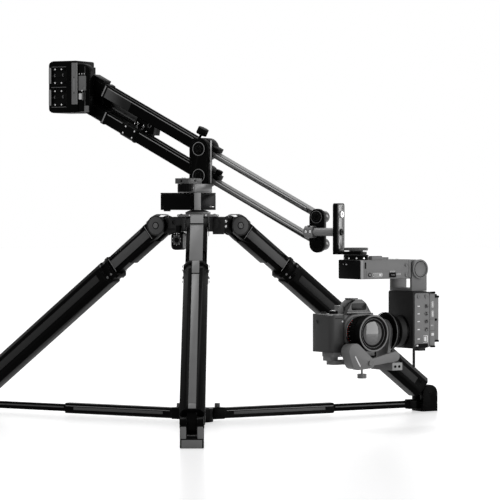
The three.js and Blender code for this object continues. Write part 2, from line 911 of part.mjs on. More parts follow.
function spreaderOuter() {
  const start = spreaderHubRadius + gap;
  const head = extrudeAlong(bevelledSquare(spreaderHeadSize, spreaderHeadSize, spreaderTubeBevel), start,
    spreaderHeadEnd);
  const tube = extrudeAlong(bevelledSquare(spreaderTubeSize, spreaderTubeSize, spreaderTubeBevel),
    spreaderHeadEnd - gap, spreaderTubeEnd);
  const boreSize = spreaderRodSize + 2 * gap;
  const bore = extrudeAlong(bevelledSquare(boreSize, boreSize, spreaderRodBevel),
    spreaderTubeEnd - spreaderBoreDepth, spreaderTubeEnd + overrun);
  const half = spreaderTubeSize / 2;
  const grooveFrom = spreaderHeadEnd + spreaderTubeSize;
  const grooveTo = spreaderTubeEnd - spreaderTubeSize;
  const grooves = [-1, 1].map((side) => {
    const inner = side * (half - spreaderGrooveDepth);
    const outer = side * (half + overrun);
    return boxBetween(
      [grooveFrom, Math.min(inner, outer), -spreaderGrooveWidth / 2],
      [grooveTo, Math.max(inner, outer), spreaderGrooveWidth / 2]);
  });
  const stemTop = spreaderHeadSize / 2;
  const stemHole = cylinderAlong('z', spreaderKnobStem + gap, stemTop - spreaderKnobStemLength - gap,
    stemTop + overrun, [spreaderKnobPlace, 0], smallSides);
  return cut(fuse(head, tube), bore, stemHole, ...grooves);
}

function spreaderInner() {
  const footFace = ankleRadius - footLength / 2 - gap;
  const start = spreaderTubeEnd - spreaderBoreDepth + gap;
  const rod = extrudeAlong(bevelledSquare(spreaderRodSize, spreaderRodSize, spreaderRodBevel), start,
    footFace);
  const end = extrudeAlong(bevelledSquare(spreaderEndHeight, spreaderEndHeight, spreaderRodBevel),
    footFace - spreaderEndLength, footFace);
  return fuse(rod, end);
}

function spreaderKnob() {
  const seat = spreaderHeadSize / 2 + gap;
  const shape = flutedCircle(spreaderKnobRadius, spreaderKnobFluteDepth, spreaderKnobFlutes);
  const stem = cylinderAlong('z', spreaderKnobStem, seat - spreaderKnobStemLength, seat + gap, [0, 0],
    smallSides);
  return fuse(extrudeUp(shape, seat, seat + spreaderKnobHeight), stem);
}

const crane = new THREE.Group();

function addStand(parent) {
  parent.add(mesh('tripod_hub', crown(), blackPaint));
  parent.add(mesh('top_plate', topPlate(), blackPaint));
  parent.add(mesh('pan_spindle', panSpindle(), silver));
  const upper = upperLeg();
  const lower = lowerLeg();
  const foot = footGeometry();
  legNames.forEach((name, index) => {
    const turned = groupAt(0, 0, 0, legYaw(index));
    const leg = groupAt(shoulderRadius, 0, shoulderHeight);
    leg.rotation.y = legSlope;
    leg.add(mesh(`leg_upper_${name}`, upper, blackPaint));
    leg.add(mesh(`leg_lower_${name}`, lower, blackPaint));
    const footPlace = groupAt(ankleRadius, 0, 0);
    footPlace.add(mesh(`foot_${name}`, foot, blackPaint));
    const spreaderLevel = groupAt(0, 0, spreaderHeight);
    spreaderLevel.add(mesh(`spreader_outer_${name}`, spreaderOuter(), blackPaint));
    spreaderLevel.add(mesh(`spreader_inner_${name}`, spreaderInner(), blackPaint));
    const knobPlace = groupAt(spreaderKnobPlace, 0, 0);
    knobPlace.add(mesh(`spreader_knob_${name}`, spreaderKnob(), blackPlastic));
    spreaderLevel.add(knobPlace);
    turned.add(leg, footPlace, spreaderLevel);
    parent.add(turned);
  });
  parent.add(mesh('spreader_hub', spreaderHub(), blackPaint));
  const podArm = groupAt(0, 0, 0, legYaw(legNames.indexOf('left')) - 180);
  const pod = groupAt(-podAlong, -hubArmWidth / 2 - gap - podHookThickness - podDepth / 2, 0);
  pod.add(mesh('control_pod', handset(), blackPlastic));
  pod.add(mesh('pod_key', handsetKey(), rubber));
  podArm.add(pod);
  parent.add(podArm);
}

// Pan box, pedestal and post. Their frame has X along the arm and Y away from the viewer's side.
const pedestalBottom = panBoxTop + gap;
const pedestalTop = pedestalBottom + pedestalHeight;
const postFront = pinSetback + postWidth / 2;
const postBack = pinSetback - postWidth / 2;
const postNear = armOffset - beamWidth / 2 - gap - postThickness;
const postFar = armOffset - beamWidth / 2 - gap;
const postBottom = pedestalTop + gap;
const lowerPinHeight = postBottom + lowerPinMargin;
const upperPinHeight = lowerPinHeight + postPinSpacing;

function panBox() {
  const half = panBoxWidth / 2;
  const outline = (inset) => roundedRectangle(
    panBoxBack + inset, -half + inset, panBoxFront - inset, half - inset,
    [panBoxBackCorner, panBoxCorner, panBoxCorner, panBoxBackCorner]);
  const box = extrudeUp(outline(0), panBoxBottom, panBoxTop);
  const seamTop = panBoxTop - panSeamDrop;
  const seamRing = cut(
    extrudeUp(roundedRectangle(panBoxBack - overrun, -half - overrun, panBoxFront + overrun, half + overrun,
      Array(4).fill(panBoxBackCorner)), seamTop - panSeamWidth, seamTop),
    extrudeUp(outline(panSeamWidth), seamTop - overrun, seamTop + overrun));
  const bore = cylinderAlong('z', spindleRadius + gap, panBoxBottom - overrun,
    panBoxBottom + spindleReach, [0, 0], midSides);
  const footPlace = [panBoxBack + panFootInset, panFootInset - half];
  const foot = cylinderAlong('z', panFootRadius, panBoxBottom - panFootHeight, panBoxBottom + gap, footPlace,
    smallSides);
  return cut(fuse(box, foot), seamRing, bore);
}

function pedestal() {
  const half = pedestalWidth / 2;
  const outline = roundedRectangle(postBack, -half, postFront, half,
    [pedestalCorner, pedestalCorner, panSeamWidth, panSeamWidth]);
  return extrudeUp(outline, pedestalBottom, pedestalTop);
}

// The post is a round-topped plate with a rim round a shallow rebate on its near face
function post() {
  const outline = (inset) => {
    const radius = postWidth / 2 - inset;
    const shape = new THREE.Shape();
    shape.moveTo(pinSetback - radius, postBottom + inset);
    shape.lineTo(pinSetback + radius, postBottom + inset);
    shape.absarc(pinSetback, upperPinHeight, radius, 0, Math.PI);
    shape.closePath();
    return shape;
  };
  const settings = { depth: postFar - postNear, bevelEnabled: false, curveSegments: midSides / 2 };
  const plate = new THREE.ExtrudeGeometry(outline(0), settings).rotateX(Math.PI / 2).translate(0, postFar, 0);
  const rebate = new THREE.ExtrudeGeometry(outline(postRebateMargin),
    { ...settings, depth: postRebate + overrun })
    .rotateX(Math.PI / 2).translate(0, postNear + postRebate, 0);
  const pinHoles = [lowerPinHeight, upperPinHeight].map((height) => cylinderAlong(
    'y', pinRadius + gap, postNear - overrun, postFar + overrun, [pinSetback, height]));
  return cut(plate, rebate, ...pinHoles);
}

// A pivot pin has a grooved head on the post's near face and an end cap behind the arm
function pivotPin(height) {
  const face = postNear + postRebate - gap;
  const behind = armOffset + beamWidth / 2 + gap;
  const centre = [pinSetback, height];
  const shaft = cylinderAlong('y', pinRadius, face - gap, behind + gap, centre);
  const head = cylinderAlong('y', pinHeadRadius, face - pinHeadHeight, face, centre);
  const cap = cylinderAlong('y', pinEndRadius, behind, behind + pinEndHeight, centre, smallSides);
  const groove = cut(
    cylinderAlong('y', pinHeadGrooveOuter, face - pinHeadHeight - overrun,
      face - pinHeadHeight + pinHeadGroove,
      centre),
    cylinderAlong('y', pinHeadGrooveInner, face - pinHeadHeight - 2 * overrun, face, centre));
  return cut(fuse(shaft, head, cap), groove);
}

function lockBracket() {
  const bottom = pedestalTop + gap;
  const top = bottom + lockBracketHeight;
  const outline = roundedRectangle(lockBracketBack, -lockBracketOuter, lockBracketFront, -lockBracketInner,
    [lockBracketCorner, lockBracketCorner, panSeamWidth, panSeamWidth]);
  const middle = bottom + lockBracketHeight / 2;
  const sideHole = cylinderAlong('y', lockBracketHole, -lockBracketOuter - overrun,
    lockBracketHoleDepth - lockBracketOuter, [(lockBracketBack + lockBracketFront) / 2, middle], smallSides);
  const frontHole = cylinderAlong('x', lockBracketHole, lockBracketFront - lockBracketHoleDepth,
    lockBracketFront + overrun, [-(lockBracketInner + lockBracketOuter) / 2, middle], smallSides);
  const stemHole = cylinderAlong('z', lockKnobStem + gap, bottom - overrun,
    bottom + lockKnobStemLength + gap, [lockKnobAlong, -lockKnobOut], smallSides);
  return cut(extrudeUp(outline, bottom, top), sideHole, frontHole, stemHole);
}

function lockKnob() {
  const top = pedestalTop;
  const stemTop = top + lockKnobStemLength;
  const body = extrudeUp(flutedCircle(lockKnobRadius, lockKnobFluteDepth, lockKnobFlutes),
    top - lockKnobHeight, top);
  return fuse(body, cylinderAlong('z', lockKnobStem, top - gap, stemTop, [0, 0], smallSides));
}

function addPanParts(parent) {
  const turned = groupAt(0, 0, 0, jibYaw);
  const knobPlace = groupAt(lockKnobAlong, -lockKnobOut, 0);
  knobPlace.add(mesh('lock_knob', lockKnob(), rubber));
  turned.add(
    mesh('pan_box', panBox(), blackPaint),
    mesh('pedestal', pedestal(), silver),
    mesh('post', post(), blackPaint),
    mesh('upper_pivot_pin', pivotPin(upperPinHeight), blackPaint),
    mesh('lower_pivot_pin', pivotPin(lowerPinHeight), blackPaint),
    mesh('lock_bracket', lockBracket(), silver),
    knobPlace,
  );
  parent.add(turned);
}

// Arm beams, in frames whose origin is a post pin and whose X runs down the arm to the front
function beam(height, screwPlace, screwSeat, withSleeve) {
  const bar = extrudeAlong(bevelledSquare(beamWidth, height, beamBevel),
    rearEyeRadius / 2 - rearArmLength, 0);
  const rearEye = cylinderAlong('y', rearEyeRadius, -beamWidth / 2, beamWidth / 2, [-rearArmLength, 0]);
  const knuckle = cylinderAlong('y', knuckleRadius, -beamWidth / 2, beamWidth / 2, [0, 0], largeSides);
  const jawBottom = barHeight / 2 + gap;
  const jaw = boxBetween([0, -barWidth / 2, jawBottom],
    [knuckleRadius + knuckleJawLength, barWidth / 2, jawBottom + knuckleJawRise]);
  const stemHole = cylinderAlong('z', clampKnobStem + gap, screwSeat - clampKnobSeat - gap,
    screwSeat + beamWidth,
    [screwPlace, 0], smallSides);
  const collar = extrudeAlong(
    bevelledSquare(beamWidth + 2 * armCollarWall, height + 2 * armCollarWall, beamBevel),
    armCollarPlace, armCollarPlace + armCollarLength);
  const rearBlock = boxBetween([rearBlockStart, -beamWidth / 2, height / 2 - overrun],
    [rearBlockEnd, beamWidth / 2, height / 2 + rearBlockRise]);
  const extra = withSleeve ? beamSleeve(height) : [rearBlock];
  const pocket = boxBetween(
    [knuckleRadius - knucklePocket, -barWidth / 2 - gap, -barHeight / 2 - gap],
    [2 * knuckleRadius, barWidth / 2 + gap, barHeight / 2 + gap]);
  const holes = [-rearArmLength, 0].map((place, index) => cylinderAlong(
    'y', (index ? pinRadius : nosePinRadius) + gap, -beamWidth, beamWidth, [place, 0]));
  const groove = boxBetween(
    [beamGrooveMargin - rearArmLength, -beamGrooveWidth / 2, height / 2 - beamGrooveDepth],
    [-beamGrooveMargin, beamGrooveWidth / 2, height / 2 + overrun]);
  const body = cut(fuse(bar, rearEye, knuckle, jaw), pocket, ...holes, stemHole, groove);
  return fuse(body, collar, ...extra);
}

// The swollen sleeve on the lower beam, with a lip at its front end
function beamSleeve(height) {
  const width = beamWidth + 2 * sleeveWall;
  const tall = height + 2 * sleeveWall;
  const lip = 2 * sleeveLip;
  return [
    extrudeAlong(bevelledSquare(width, tall, 2 * beamBevel), sleeveStart, sleeveEnd),
    extrudeAlong(bevelledSquare(width + lip, tall + lip, 2 * beamBevel), sleeveEnd - sleeveLipLength,
      sleeveEnd),
  ];
}

// A front bar slides into its knuckle and ends in a round hub on the front pin
function frontBar() {
  const start = knuckleRadius - knucklePocket + gap;
  const bar = extrudeAlong(bevelledSquare(barWidth, barHeight, barBevel), start, frontArmLength);
  const hub = cylinderAlong('y', barHubRadius, -barWidth / 2, barWidth / 2, [frontArmLength, 0]);
  const hole = cylinderAlong('y', frontPinRadius + gap, -barWidth, barWidth, [frontArmLength, 0]);
  const screwMark = cylinderAlong('y', barScrewRadius, -barWidth / 2 - overrun, barScrewDepth - barWidth / 2,
    [frontArmLength - barScrewInset, 0], smallSides);
  return cut(fuse(bar, hub), hole, screwMark);
}

// The knurled screw on top of the upper knuckle clamps the bar
function clampScrew(radius, height, neck, seat, flutes) {
  const bottom = seat + gap;
  const head = extrudeUp(flutedCircle(radius, clampKnobFluteDepth, flutes), bottom + neck,
    bottom + neck + height);
  const stem = cylinderAlong('z', clampKnobStem, bottom - clampKnobSeat, bottom + neck + gap, [0, 0],
    smallSides);
  return fuse(head, stem);
}

// The tilt motor lies along the far side of the beams, midway between them. Its gearbox has a sloping
// front end and stands on a foot at the lower beam's side.
function tiltMotor() {
  const near = noseSlot / 2 + noseFarThickness + nosePinHeadHeight + gap;
  const middle = (postPinSpacing * Math.cos(radians(armPitch))) / 2;
  const can = cylinderAlong('x', motorRadius, motorStart, motorEnd + 2 * gap, [near + motorRadius, middle]);
  const boxEnd = motorEnd + gearboxLength;
  const low = middle - gearboxHeight / 2;
  const high = middle + gearboxHeight / 2;
  const side = new THREE.Shape();
  side.moveTo(motorEnd + gap, low);
  side.lineTo(boxEnd, low);
  side.lineTo(boxEnd - gearboxSlope, high);
  side.lineTo(motorEnd + gap, high);
  side.closePath();
  const foot = boxBetween([boxEnd - motorFootLength, beamWidth / 2 + gap, -motorFootDrop],
    [boxEnd, near + motorFootDepth, low + overrun]);
  return fuse(can, extrudeAcross(side, near, near + gearboxWidth), foot);
}

// Battery housing: a nose with a tall near cheek and a small far one, which hold the two beams between
// them, and a battery module behind it. Their frame has its origin at the upper rear pin.
function nose() {
  const half = noseWidth / 2;
  const inner = noseSlot / 2;
  const farFace = inner + noseFarThickness;
  const profile = new THREE.Shape();
  profile.moveTo(noseBack, noseHeel);
  profile.lineTo(noseHeelFront, noseHeel);
  profile.lineTo(noseFront, noseBottom);
  profile.lineTo(noseFront, noseTop - noseRound);
  profile.absarc(noseFront - noseRound, noseTop - noseRound, noseRound, 0, Math.PI / 2);
  profile.lineTo(noseBack, noseTop);
  profile.closePath();
  const nearCheek = extrudeAcross(profile, -half, -inner);
  const farLow = -postPinSpacing;
  const farCheek = fuse(
    extrudeAcross(stadium([0, farLow], noseFarRadius, [0, 0], noseFarRadius), inner, farFace),
    boxBetween([noseBack, inner, farLow - noseFarRadius / 2], [0, farFace, noseFarRadius / 2]));
  const web = boxBetween([noseBack, -half, noseHeel], [noseBack + noseWall, half, noseWebTop]);
  const pins = [0, farLow].flatMap((height) => [
    cylinderAlong('y', nosePinRadius, -inner - gap, inner + gap, [0, height], smallSides),
    cylinderAlong('y', nosePinHead, farFace - gap, farFace + nosePinHeadHeight, [0, height], smallSides),
  ]);
  const well = boxBetween(
    [switchAlong - switchWell / 2, -half - overrun, switchDrop - switchWellHeight / 2],
    [switchAlong + switchWell / 2, switchWellDepth - half, switchDrop + switchWellHeight / 2]);
  return fuse(cut(nearCheek, well), farCheek, web, ...pins);
}

function rearSwitch() {
  const face = -noseWidth / 2;
  const top = switchDrop + switchWellHeight / 2 - gap;
  return boxBetween(
    [switchAlong - switchWidth / 2, face - switchRise, top - switchHeight],
    [switchAlong + switchWidth / 2, face + switchWellDepth - gap, top]);
}

const moduleFront = noseBack - gap;
const moduleBack = moduleFront - moduleLength;
const bayCentre = moduleBack + bayInset + bayLength / 2;
const bayHeights = [-1, 1].map((side) => (moduleBottom + moduleTop) / 2 + (side * bayPitch) / 2);

function batteryModule() {
  const half = moduleWidth / 2;
  const side = roundedRectangle(moduleBack, moduleBottom, moduleFront, moduleTop,
    [moduleCorner, moduleFrontCorner, moduleFrontCorner, moduleCorner]);
  const plan = roundedRectangle(moduleBack, -half, moduleFront, half,
    [moduleFrontCorner, panSeamWidth, panSeamWidth, moduleFrontCorner]);
  const block = toGeometry(toSolid(extrudeAcross(side, -half, half))
    .intersect(toSolid(extrudeUp(plan, moduleBottom, moduleTop))));
  const bays = bayHeights.map((height) => boxBetween(
    [bayCentre - bayLength / 2, -half - overrun, height - bayHeight / 2],
    [bayCentre + bayLength / 2, bayDepth - half, height + bayHeight / 2]));
  const slotAlong = bayCentre + bayLength / 2 + bayInset;
  const slot = boxBetween([slotAlong - baySlotWidth / 2, -half - overrun, bayHeights[1] - baySlotHeight],
    [slotAlong + baySlotWidth / 2, baySlotDepth - half, bayHeights[1]]);
  return cut(block, ...bays, slot);
}

// A battery plate lies at the bottom of its bay, with rails across it and a contact block at one end
function batteryPlate() {
  const back = bayDepth - moduleWidth / 2 - gap;
  const front = back - plateThickness;
  const wide = bayLength / 2 - gap;
  const tall = bayHeight / 2 - gap;
  const plate = boxBetween([-wide, front, -tall], [wide, back, tall]);
  const railPitch = (2 * tall - plateRailWidth) / (plateRailCount - 1);
  const rails = Array.from({ length: plateRailCount }, (_, index) => {
    const low = index * railPitch - tall;
    return boxBetween([-wide, front - plateRailRise, low], [wide - contactLength, front + gap,
      low + plateRailWidth]);
  });
  const contacts = boxBetween([wide - contactLength, front - contactRise, -tall / 2],
    [wide, front + gap, tall / 2]);
  return fuse(plate, ...rails, contacts);
}

// Front bracket: one plate on the near side of the bars, with both pins
const frontDrop = frontArmLength * Math.sin(radians(armPitch));
const frontReach = frontArmLength * Math.cos(radians(armPitch));
const frontUpper = upperPinHeight - frontDrop;
const frontLower = lowerPinHeight - frontDrop;
const frontPlateBack = -barWidth / 2 - gap;
const frontPlateFace = frontPlateBack - frontPlateThickness;

function frontBracket() {
  const radius = frontPlateWidth / 2;
  const heights = [frontLower, frontUpper];
  const plate = extrudeAcross(stadium([0, frontLower], radius, [0, frontUpper], radius), frontPlateFace,
    frontPlateBack);
  const barFar = barWidth / 2 + gap;
  const pins = heights.flatMap((height) => [
    cylinderAlong('y', frontPinRadius, frontPlateBack - gap, barFar + gap, [0, height], midSides),
    cylinderAlong('y', frontPinHead, frontPlateFace - frontPinHeadHeight, frontPlateFace + gap, [0, height]),
    cylinderAlong('y', frontPinHead, barFar, barFar + frontPinHeadHeight, [0, height]),
  ]);
  const grooves = heights.map((height) => cut(
    cylinderAlong('y', frontRingOuter, frontPlateFace - overrun, frontPlateFace + frontRingGroove,
      [0, height]),
    cylinderAlong('y', frontRingInner, frontPlateFace - 2 * overrun, frontPlateFace + overrun, [0, height])));
  return fuse(cut(plate, ...grooves), ...pins);
}

const offsetHeight = (frontUpper + frontLower) / 2 + offsetRise;
const bracketTop = offsetHeight + bracketRise;
const bracketBottom = offsetHeight - bracketDrop;

// Heights of the head and of what it carries follow from the bracket
const headBoxTop = bracketBottom - gap - headBearingHeight;
const headBoxBottom = headBoxTop - headBoxHeight;
const hingeHeight = headBoxTop - hingeDrop;
const tiltBoxTop = headBoxBottom - tiltBoxGap;
const tiltBoxBottom = tiltBoxTop - tiltBoxHeight;
const portBlockTop = tiltBoxTop - portBlockMargin;
const portBlockBottom = tiltBoxBottom + portBlockMargin;
const coverTop = tiltBoxTop - coverTopMargin;
const coverBottom = tiltBoxBottom + coverBottomMargin;
const tiltHeight = tiltBoxBottom + tiltAxisRise;
const lensHeight = tiltHeight + lensRise;
const bodyBottom = lensHeight - bodyDrop;
const bodyShoulder = bodyBottom + bodyHeight;
const bodyTop = bodyShoulder + prismHeight;
const gripTop = bodyShoulder - gripStep;
const cradleBottom = bodyBottom - cradleBaseDrop;
const cradleBarBottom = bodyBottom - cradleBarDrop;

function rodClamp() {
  const near = -2 * offsetOut - frontPlateFace + gap;
  const low = offsetHeight - clampHeight / 2;
  const outline = roundedRectangle(near, low, frontPlateFace - gap, low + clampHeight,
    [clampCorner, panSeamWidth, panSeamWidth, clampCorner]);
  const block = extrudeAlong(outline, clampBack, clampBack + clampLength);
  const bore = cylinderAlong('x', offsetRodRadius + gap, clampBack - overrun,
    clampBack + clampLength + overrun,
    [-offsetOut, offsetHeight]);
  const split = boxBetween(
    [clampBack - overrun, near - overrun, offsetHeight - clampSplit / 2],
    [clampBack + clampLength + overrun, -offsetOut, offsetHeight + clampSplit / 2]);
  const boltPlace = [clampBack + clampLength / 2, near + clampBoltRadius];
  const bolt = cylinderAlong('z', clampBoltRadius, low + clampHeight - gap, low + clampHeight + clampBoltRise,
    boltPlace, smallSides);
  return fuse(cut(block, bore, split), bolt);
}

function offsetRod() {
  return cylinderAlong('x', offsetRodRadius, offsetRodBack, bracketAlong - gap, [-offsetOut, offsetHeight]);
}

function headBracket() {
  const left = -offsetOut - bracketWidth / 2;
  const right = -offsetOut + bracketWidth / 2;
  const face = roundedRectangle(left, bracketBottom, right, bracketTop, [0, 0, bracketCorner, bracketCorner]);
  const wall = extrudeAlong(face, bracketAlong, bracketAlong + bracketThickness);
  const footOutline = roundedRectangle(bracketAlong, left, bracketAlong + bracketFootLength, right,
    [0, bracketCorner, bracketCorner, 0]);
  const foot = extrudeUp(footOutline, bracketBottom, bracketBottom + bracketFootThickness);
  const hole = cylinderAlong('z', mountKnobStem + gap, bracketBottom - overrun, bracketTop,
    [headAxisAlong, -offsetOut]);
  const outer = bracketAlong + bracketThickness;
  const bolt = cylinderAlong('x', bracketBoltRadius, outer - gap, outer + bracketBoltRise,
    [-offsetOut, offsetHeight], midSides);
  const hex = cylinderAlong('x', bracketBoltHex, outer + bracketBoltRise / 2, outer + 2 * bracketBoltRise,
    [-offsetOut, offsetHeight], 6);
  return cut(fuse(wall, foot, bolt), hole, hex);
}

function mountKnob() {
  const bottom = bracketBottom + bracketFootThickness + gap;
  const discBottom = bottom + mountKnobNeckHeight;
  const disc = extrudeUp(flutedCircle(mountKnobRadius, mountKnobFluteDepth, mountKnobFlutes), discBottom,
    discBottom + mountKnobHeight);
  const neck = cylinderAlong('z', mountKnobNeck, bottom, discBottom + gap, [0, 0]);
  const stem = cylinderAlong('z', mountKnobStem, bracketBottom, bottom + gap, [0, 0]);
  return fuse(disc, neck, stem);
}

// Remote head, in its own frame: X along the box, Y away from the lens, heights above the floor
function headBox() {
  const half = headBoxWidth / 2;
  const middle = (headBoxBottom + headBoxTop) / 2;
  const section = bevelledSquare(headBoxWidth, headBoxTop - headBoxBottom, headBoxBevel);
  const box = extrudeAlong(section, headBoxBack, headBoxFront).translate(0, 0, middle);
  const tongue = extrudeAcross(
    stadium([headBoxFront - hingeRadius, hingeHeight], hingeRadius - gap, [hingeAlong, hingeHeight],
      hingeRadius - gap),
    yokeThickness + gap - half, half - yokeThickness - gap);
  const pinFloor = half - yokeThickness - hingePinDepth - gap;
  const pinHoles = [[-half, -pinFloor], [pinFloor, half]].map(([from, to]) =>
    cylinderAlong('y', hingePinRadius + gap, from, to, [hingeAlong, hingeHeight], smallSides));
  const bearingTop = bracketBottom - gap;
  const bearingMiddle = (headBoxTop + bearingTop) / 2;
  const bearing = revolve([
    [0, headBoxTop - gap], [headBearingRadius, headBoxTop - gap], [headBearingRadius, bearingMiddle],
    [headBearingRadius - headBearingGroove, bearingMiddle],
    [headBearingRadius - headBearingGroove, bearingMiddle + headBearingGroove],
    [headBearingRadius, bearingMiddle + headBearingGroove], [headBearingRadius, bearingTop], [0, bearingTop],
  ]);
  const pad = boxBetween([headPadPlace, -headPadWidth / 2, headBoxTop - gap],
    [headPadPlace + headPadLength, headPadWidth / 2, headBoxTop + headPadHeight]);
  const button = cylinderAlong('y', headButtonRadius, -half - headButtonRise + headPanelDepth,
    gap - half + headPanelDepth,
    [headPanelPlace, middle], smallSides);
  const panel = boxBetween([headPanelPlace - headPanelLength / 2, -half - overrun,
    middle - headPanelHeight / 2],
    [headPanelPlace + headPanelLength / 2, headPanelDepth - half, middle + headPanelHeight / 2]);
  const seamRing = cut(
    boxBetween([headSeamPlace, -half - overrun, headBoxBottom - overrun],
      [headSeamPlace + headSeamWidth, half + overrun, headBoxTop + overrun]),
    boxBetween([headSeamPlace - overrun, headSeamWidth - half, headBoxBottom + headSeamWidth],
      [headSeamPlace + overrun, half - headSeamWidth, headBoxTop - headSeamWidth]));
  return fuse(cut(fuse(box, tongue, bearing, pad), panel, seamRing, ...pinHoles), button);
}

// The yoke grips the tongue between two plates with round tops, joined by a web on the tilt box
function yoke() {
  const outer = headBoxWidth / 2;
  const inner = outer - yokeThickness;
  const bottom = tiltBoxTop + gap;
  const outline = new THREE.Shape();
  const half = yokeWidth / 2;
  outline.moveTo(hingeAlong - half, bottom);
  outline.lineTo(hingeAlong + half, bottom);
  outline.absarc(hingeAlong, hingeHeight, half, 0, Math.PI);
  outline.closePath();
  const settings = { depth: yokeThickness, bevelEnabled: false, curveSegments: midSides / 2 };
  const plates = [outer, -inner].map((far) =>
    new THREE.ExtrudeGeometry(outline, settings).rotateX(Math.PI / 2).translate(0, far, 0));
  const web = boxBetween([hingeAlong - half, -outer, bottom],
    [hingeAlong + half, outer, bottom + yokeCrossHeight]);
  const caps = [-1, 1].map((side) => {
    const near = side * (outer - gap);
    const far = side * (outer + hingeCapRise);
    const disc = cylinderAlong('y', hingeCapRadius, Math.min(near, far), Math.max(near, far),
      [hingeAlong, hingeHeight], largeSides);
    const dishFrom = side * (outer + hingeCapRise - hingeCapDish);
    const dishTo = side * (outer + hingeCapRise + overrun);
    const dish = cylinderAlong('y', hingeCapDishRadius, Math.min(dishFrom, dishTo),
      Math.max(dishFrom, dishTo),
      [hingeAlong, hingeHeight]);
    return cut(disc, dish);
  });
  const pins = [[-inner, hingePinDepth - inner], [inner - hingePinDepth, inner]].map(([from, to]) =>
    cylinderAlong('y', hingePinRadius, from - gap, to + gap, [hingeAlong, hingeHeight], smallSides));
  return fuse(...plates, web, ...caps, ...pins);
}

// The tilt box steps down to a port block and a cover, with round connectors on its near face
function tiltBox() {
  const crossways = (from, to, low, high, inset) => {
    const shape = bevelledSquare(tiltBoxRight - tiltBoxLeft - 2 * inset, high - low, tiltBoxBevel);
    return extrudeAlong(shape, from, to).translate(0, (tiltBoxLeft + tiltBoxRight) / 2, (low + high) / 2);
  };
  const boxes = [
    crossways(tiltBoxBack, tiltBoxFront, tiltBoxBottom, tiltBoxTop, 0),
    crossways(tiltBoxFront - gap, portBlockEnd, portBlockBottom, portBlockTop, gap),
    crossways(portBlockEnd - gap, coverEnd, coverBottom, coverTop, coverInset),
  ];
  const boss = cylinderAlong('x', motorBossRadius, motorBossInner, tiltBoxBack + gap,
    [tiltForward, tiltHeight],
    largeSides);
  const ports = Array.from({ length: portCount }, (_, index) => {
    const height = tiltBoxTop - portTopDrop - index * portPitch;
    return [
      cylinderAlong('y', portRadius, tiltBoxLeft - overrun, tiltBoxLeft + portDepth, [portAlong, height],
        smallSides),
      cylinderAlong('y', portRimRadius, tiltBoxLeft - overrun, tiltBoxLeft + portRimDepth,
        [portAlong, height],
        smallSides),
    ];
  }).flat();
  const squareHeight = tiltBoxTop - portTopDrop - portCount * portPitch - squarePort / 2;
  const square = boxBetween(
    [portAlong - squarePort / 2, tiltBoxLeft - overrun, squareHeight - squarePort],
    [portAlong + squarePort / 2, tiltBoxLeft + portDepth, squareHeight]);
  const slots = [0, 1].map((index) => {
    const height = tiltBoxTop - portTopDrop - index * portPitch;
    return boxBetween([slotPortAlong - slotPortWidth / 2, tiltBoxLeft - overrun, height - slotPortHeight / 2],
      [slotPortAlong + slotPortWidth / 2, tiltBoxLeft + portDepth, height + slotPortHeight / 2]);
  });
  const leverTop = tiltBoxBottom + gap;
  const leverAlong = tiltBoxBack + leverInset;
  const lever = cylinderAlong('z', leverRadius, leverTop - leverLength, leverTop,
    [leverAlong, tiltBoxLeft + leverInset],
    smallSides);
  const foot = boxBetween(
    [tiltBoxFront - leverFootLength, tiltBoxLeft + capInset, tiltBoxBottom - leverFootHeight],
    [tiltBoxFront, tiltBoxLeft + capInset + leverFootLength, leverTop]);
  const caps = [coverTop, coverBottom - capHeight].map((low) => boxBetween(
    [portBlockEnd - gap, tiltBoxLeft + capInset, low - gap],
    [coverEnd - capInset / 2, tiltBoxRight - capInset, low + capHeight + gap]));
  return cut(fuse(...boxes, boss, lever, foot, ...caps), ...ports, square, ...slots);
}

// The rotor turns about the tilt axis and carries the cradle
function tiltRotor() {
  const centre = [tiltForward, tiltHeight];
  const disc = cylinderAlong('x', rotorDiscRadius, rotorDiscInner - gap, motorBossInner - gap, centre,
    largeSides);
  const flange = cylinderAlong('x', flangeRadius, flangeInner + flangeStep, rotorDiscInner, centre,
    largeSides);
  const step = cylinderAlong('x', flangeRadius - flangeStep, flangeInner, flangeInner + flangeStep + gap,
    centre,
    largeSides);
  return fuse(disc, flange, step);
}

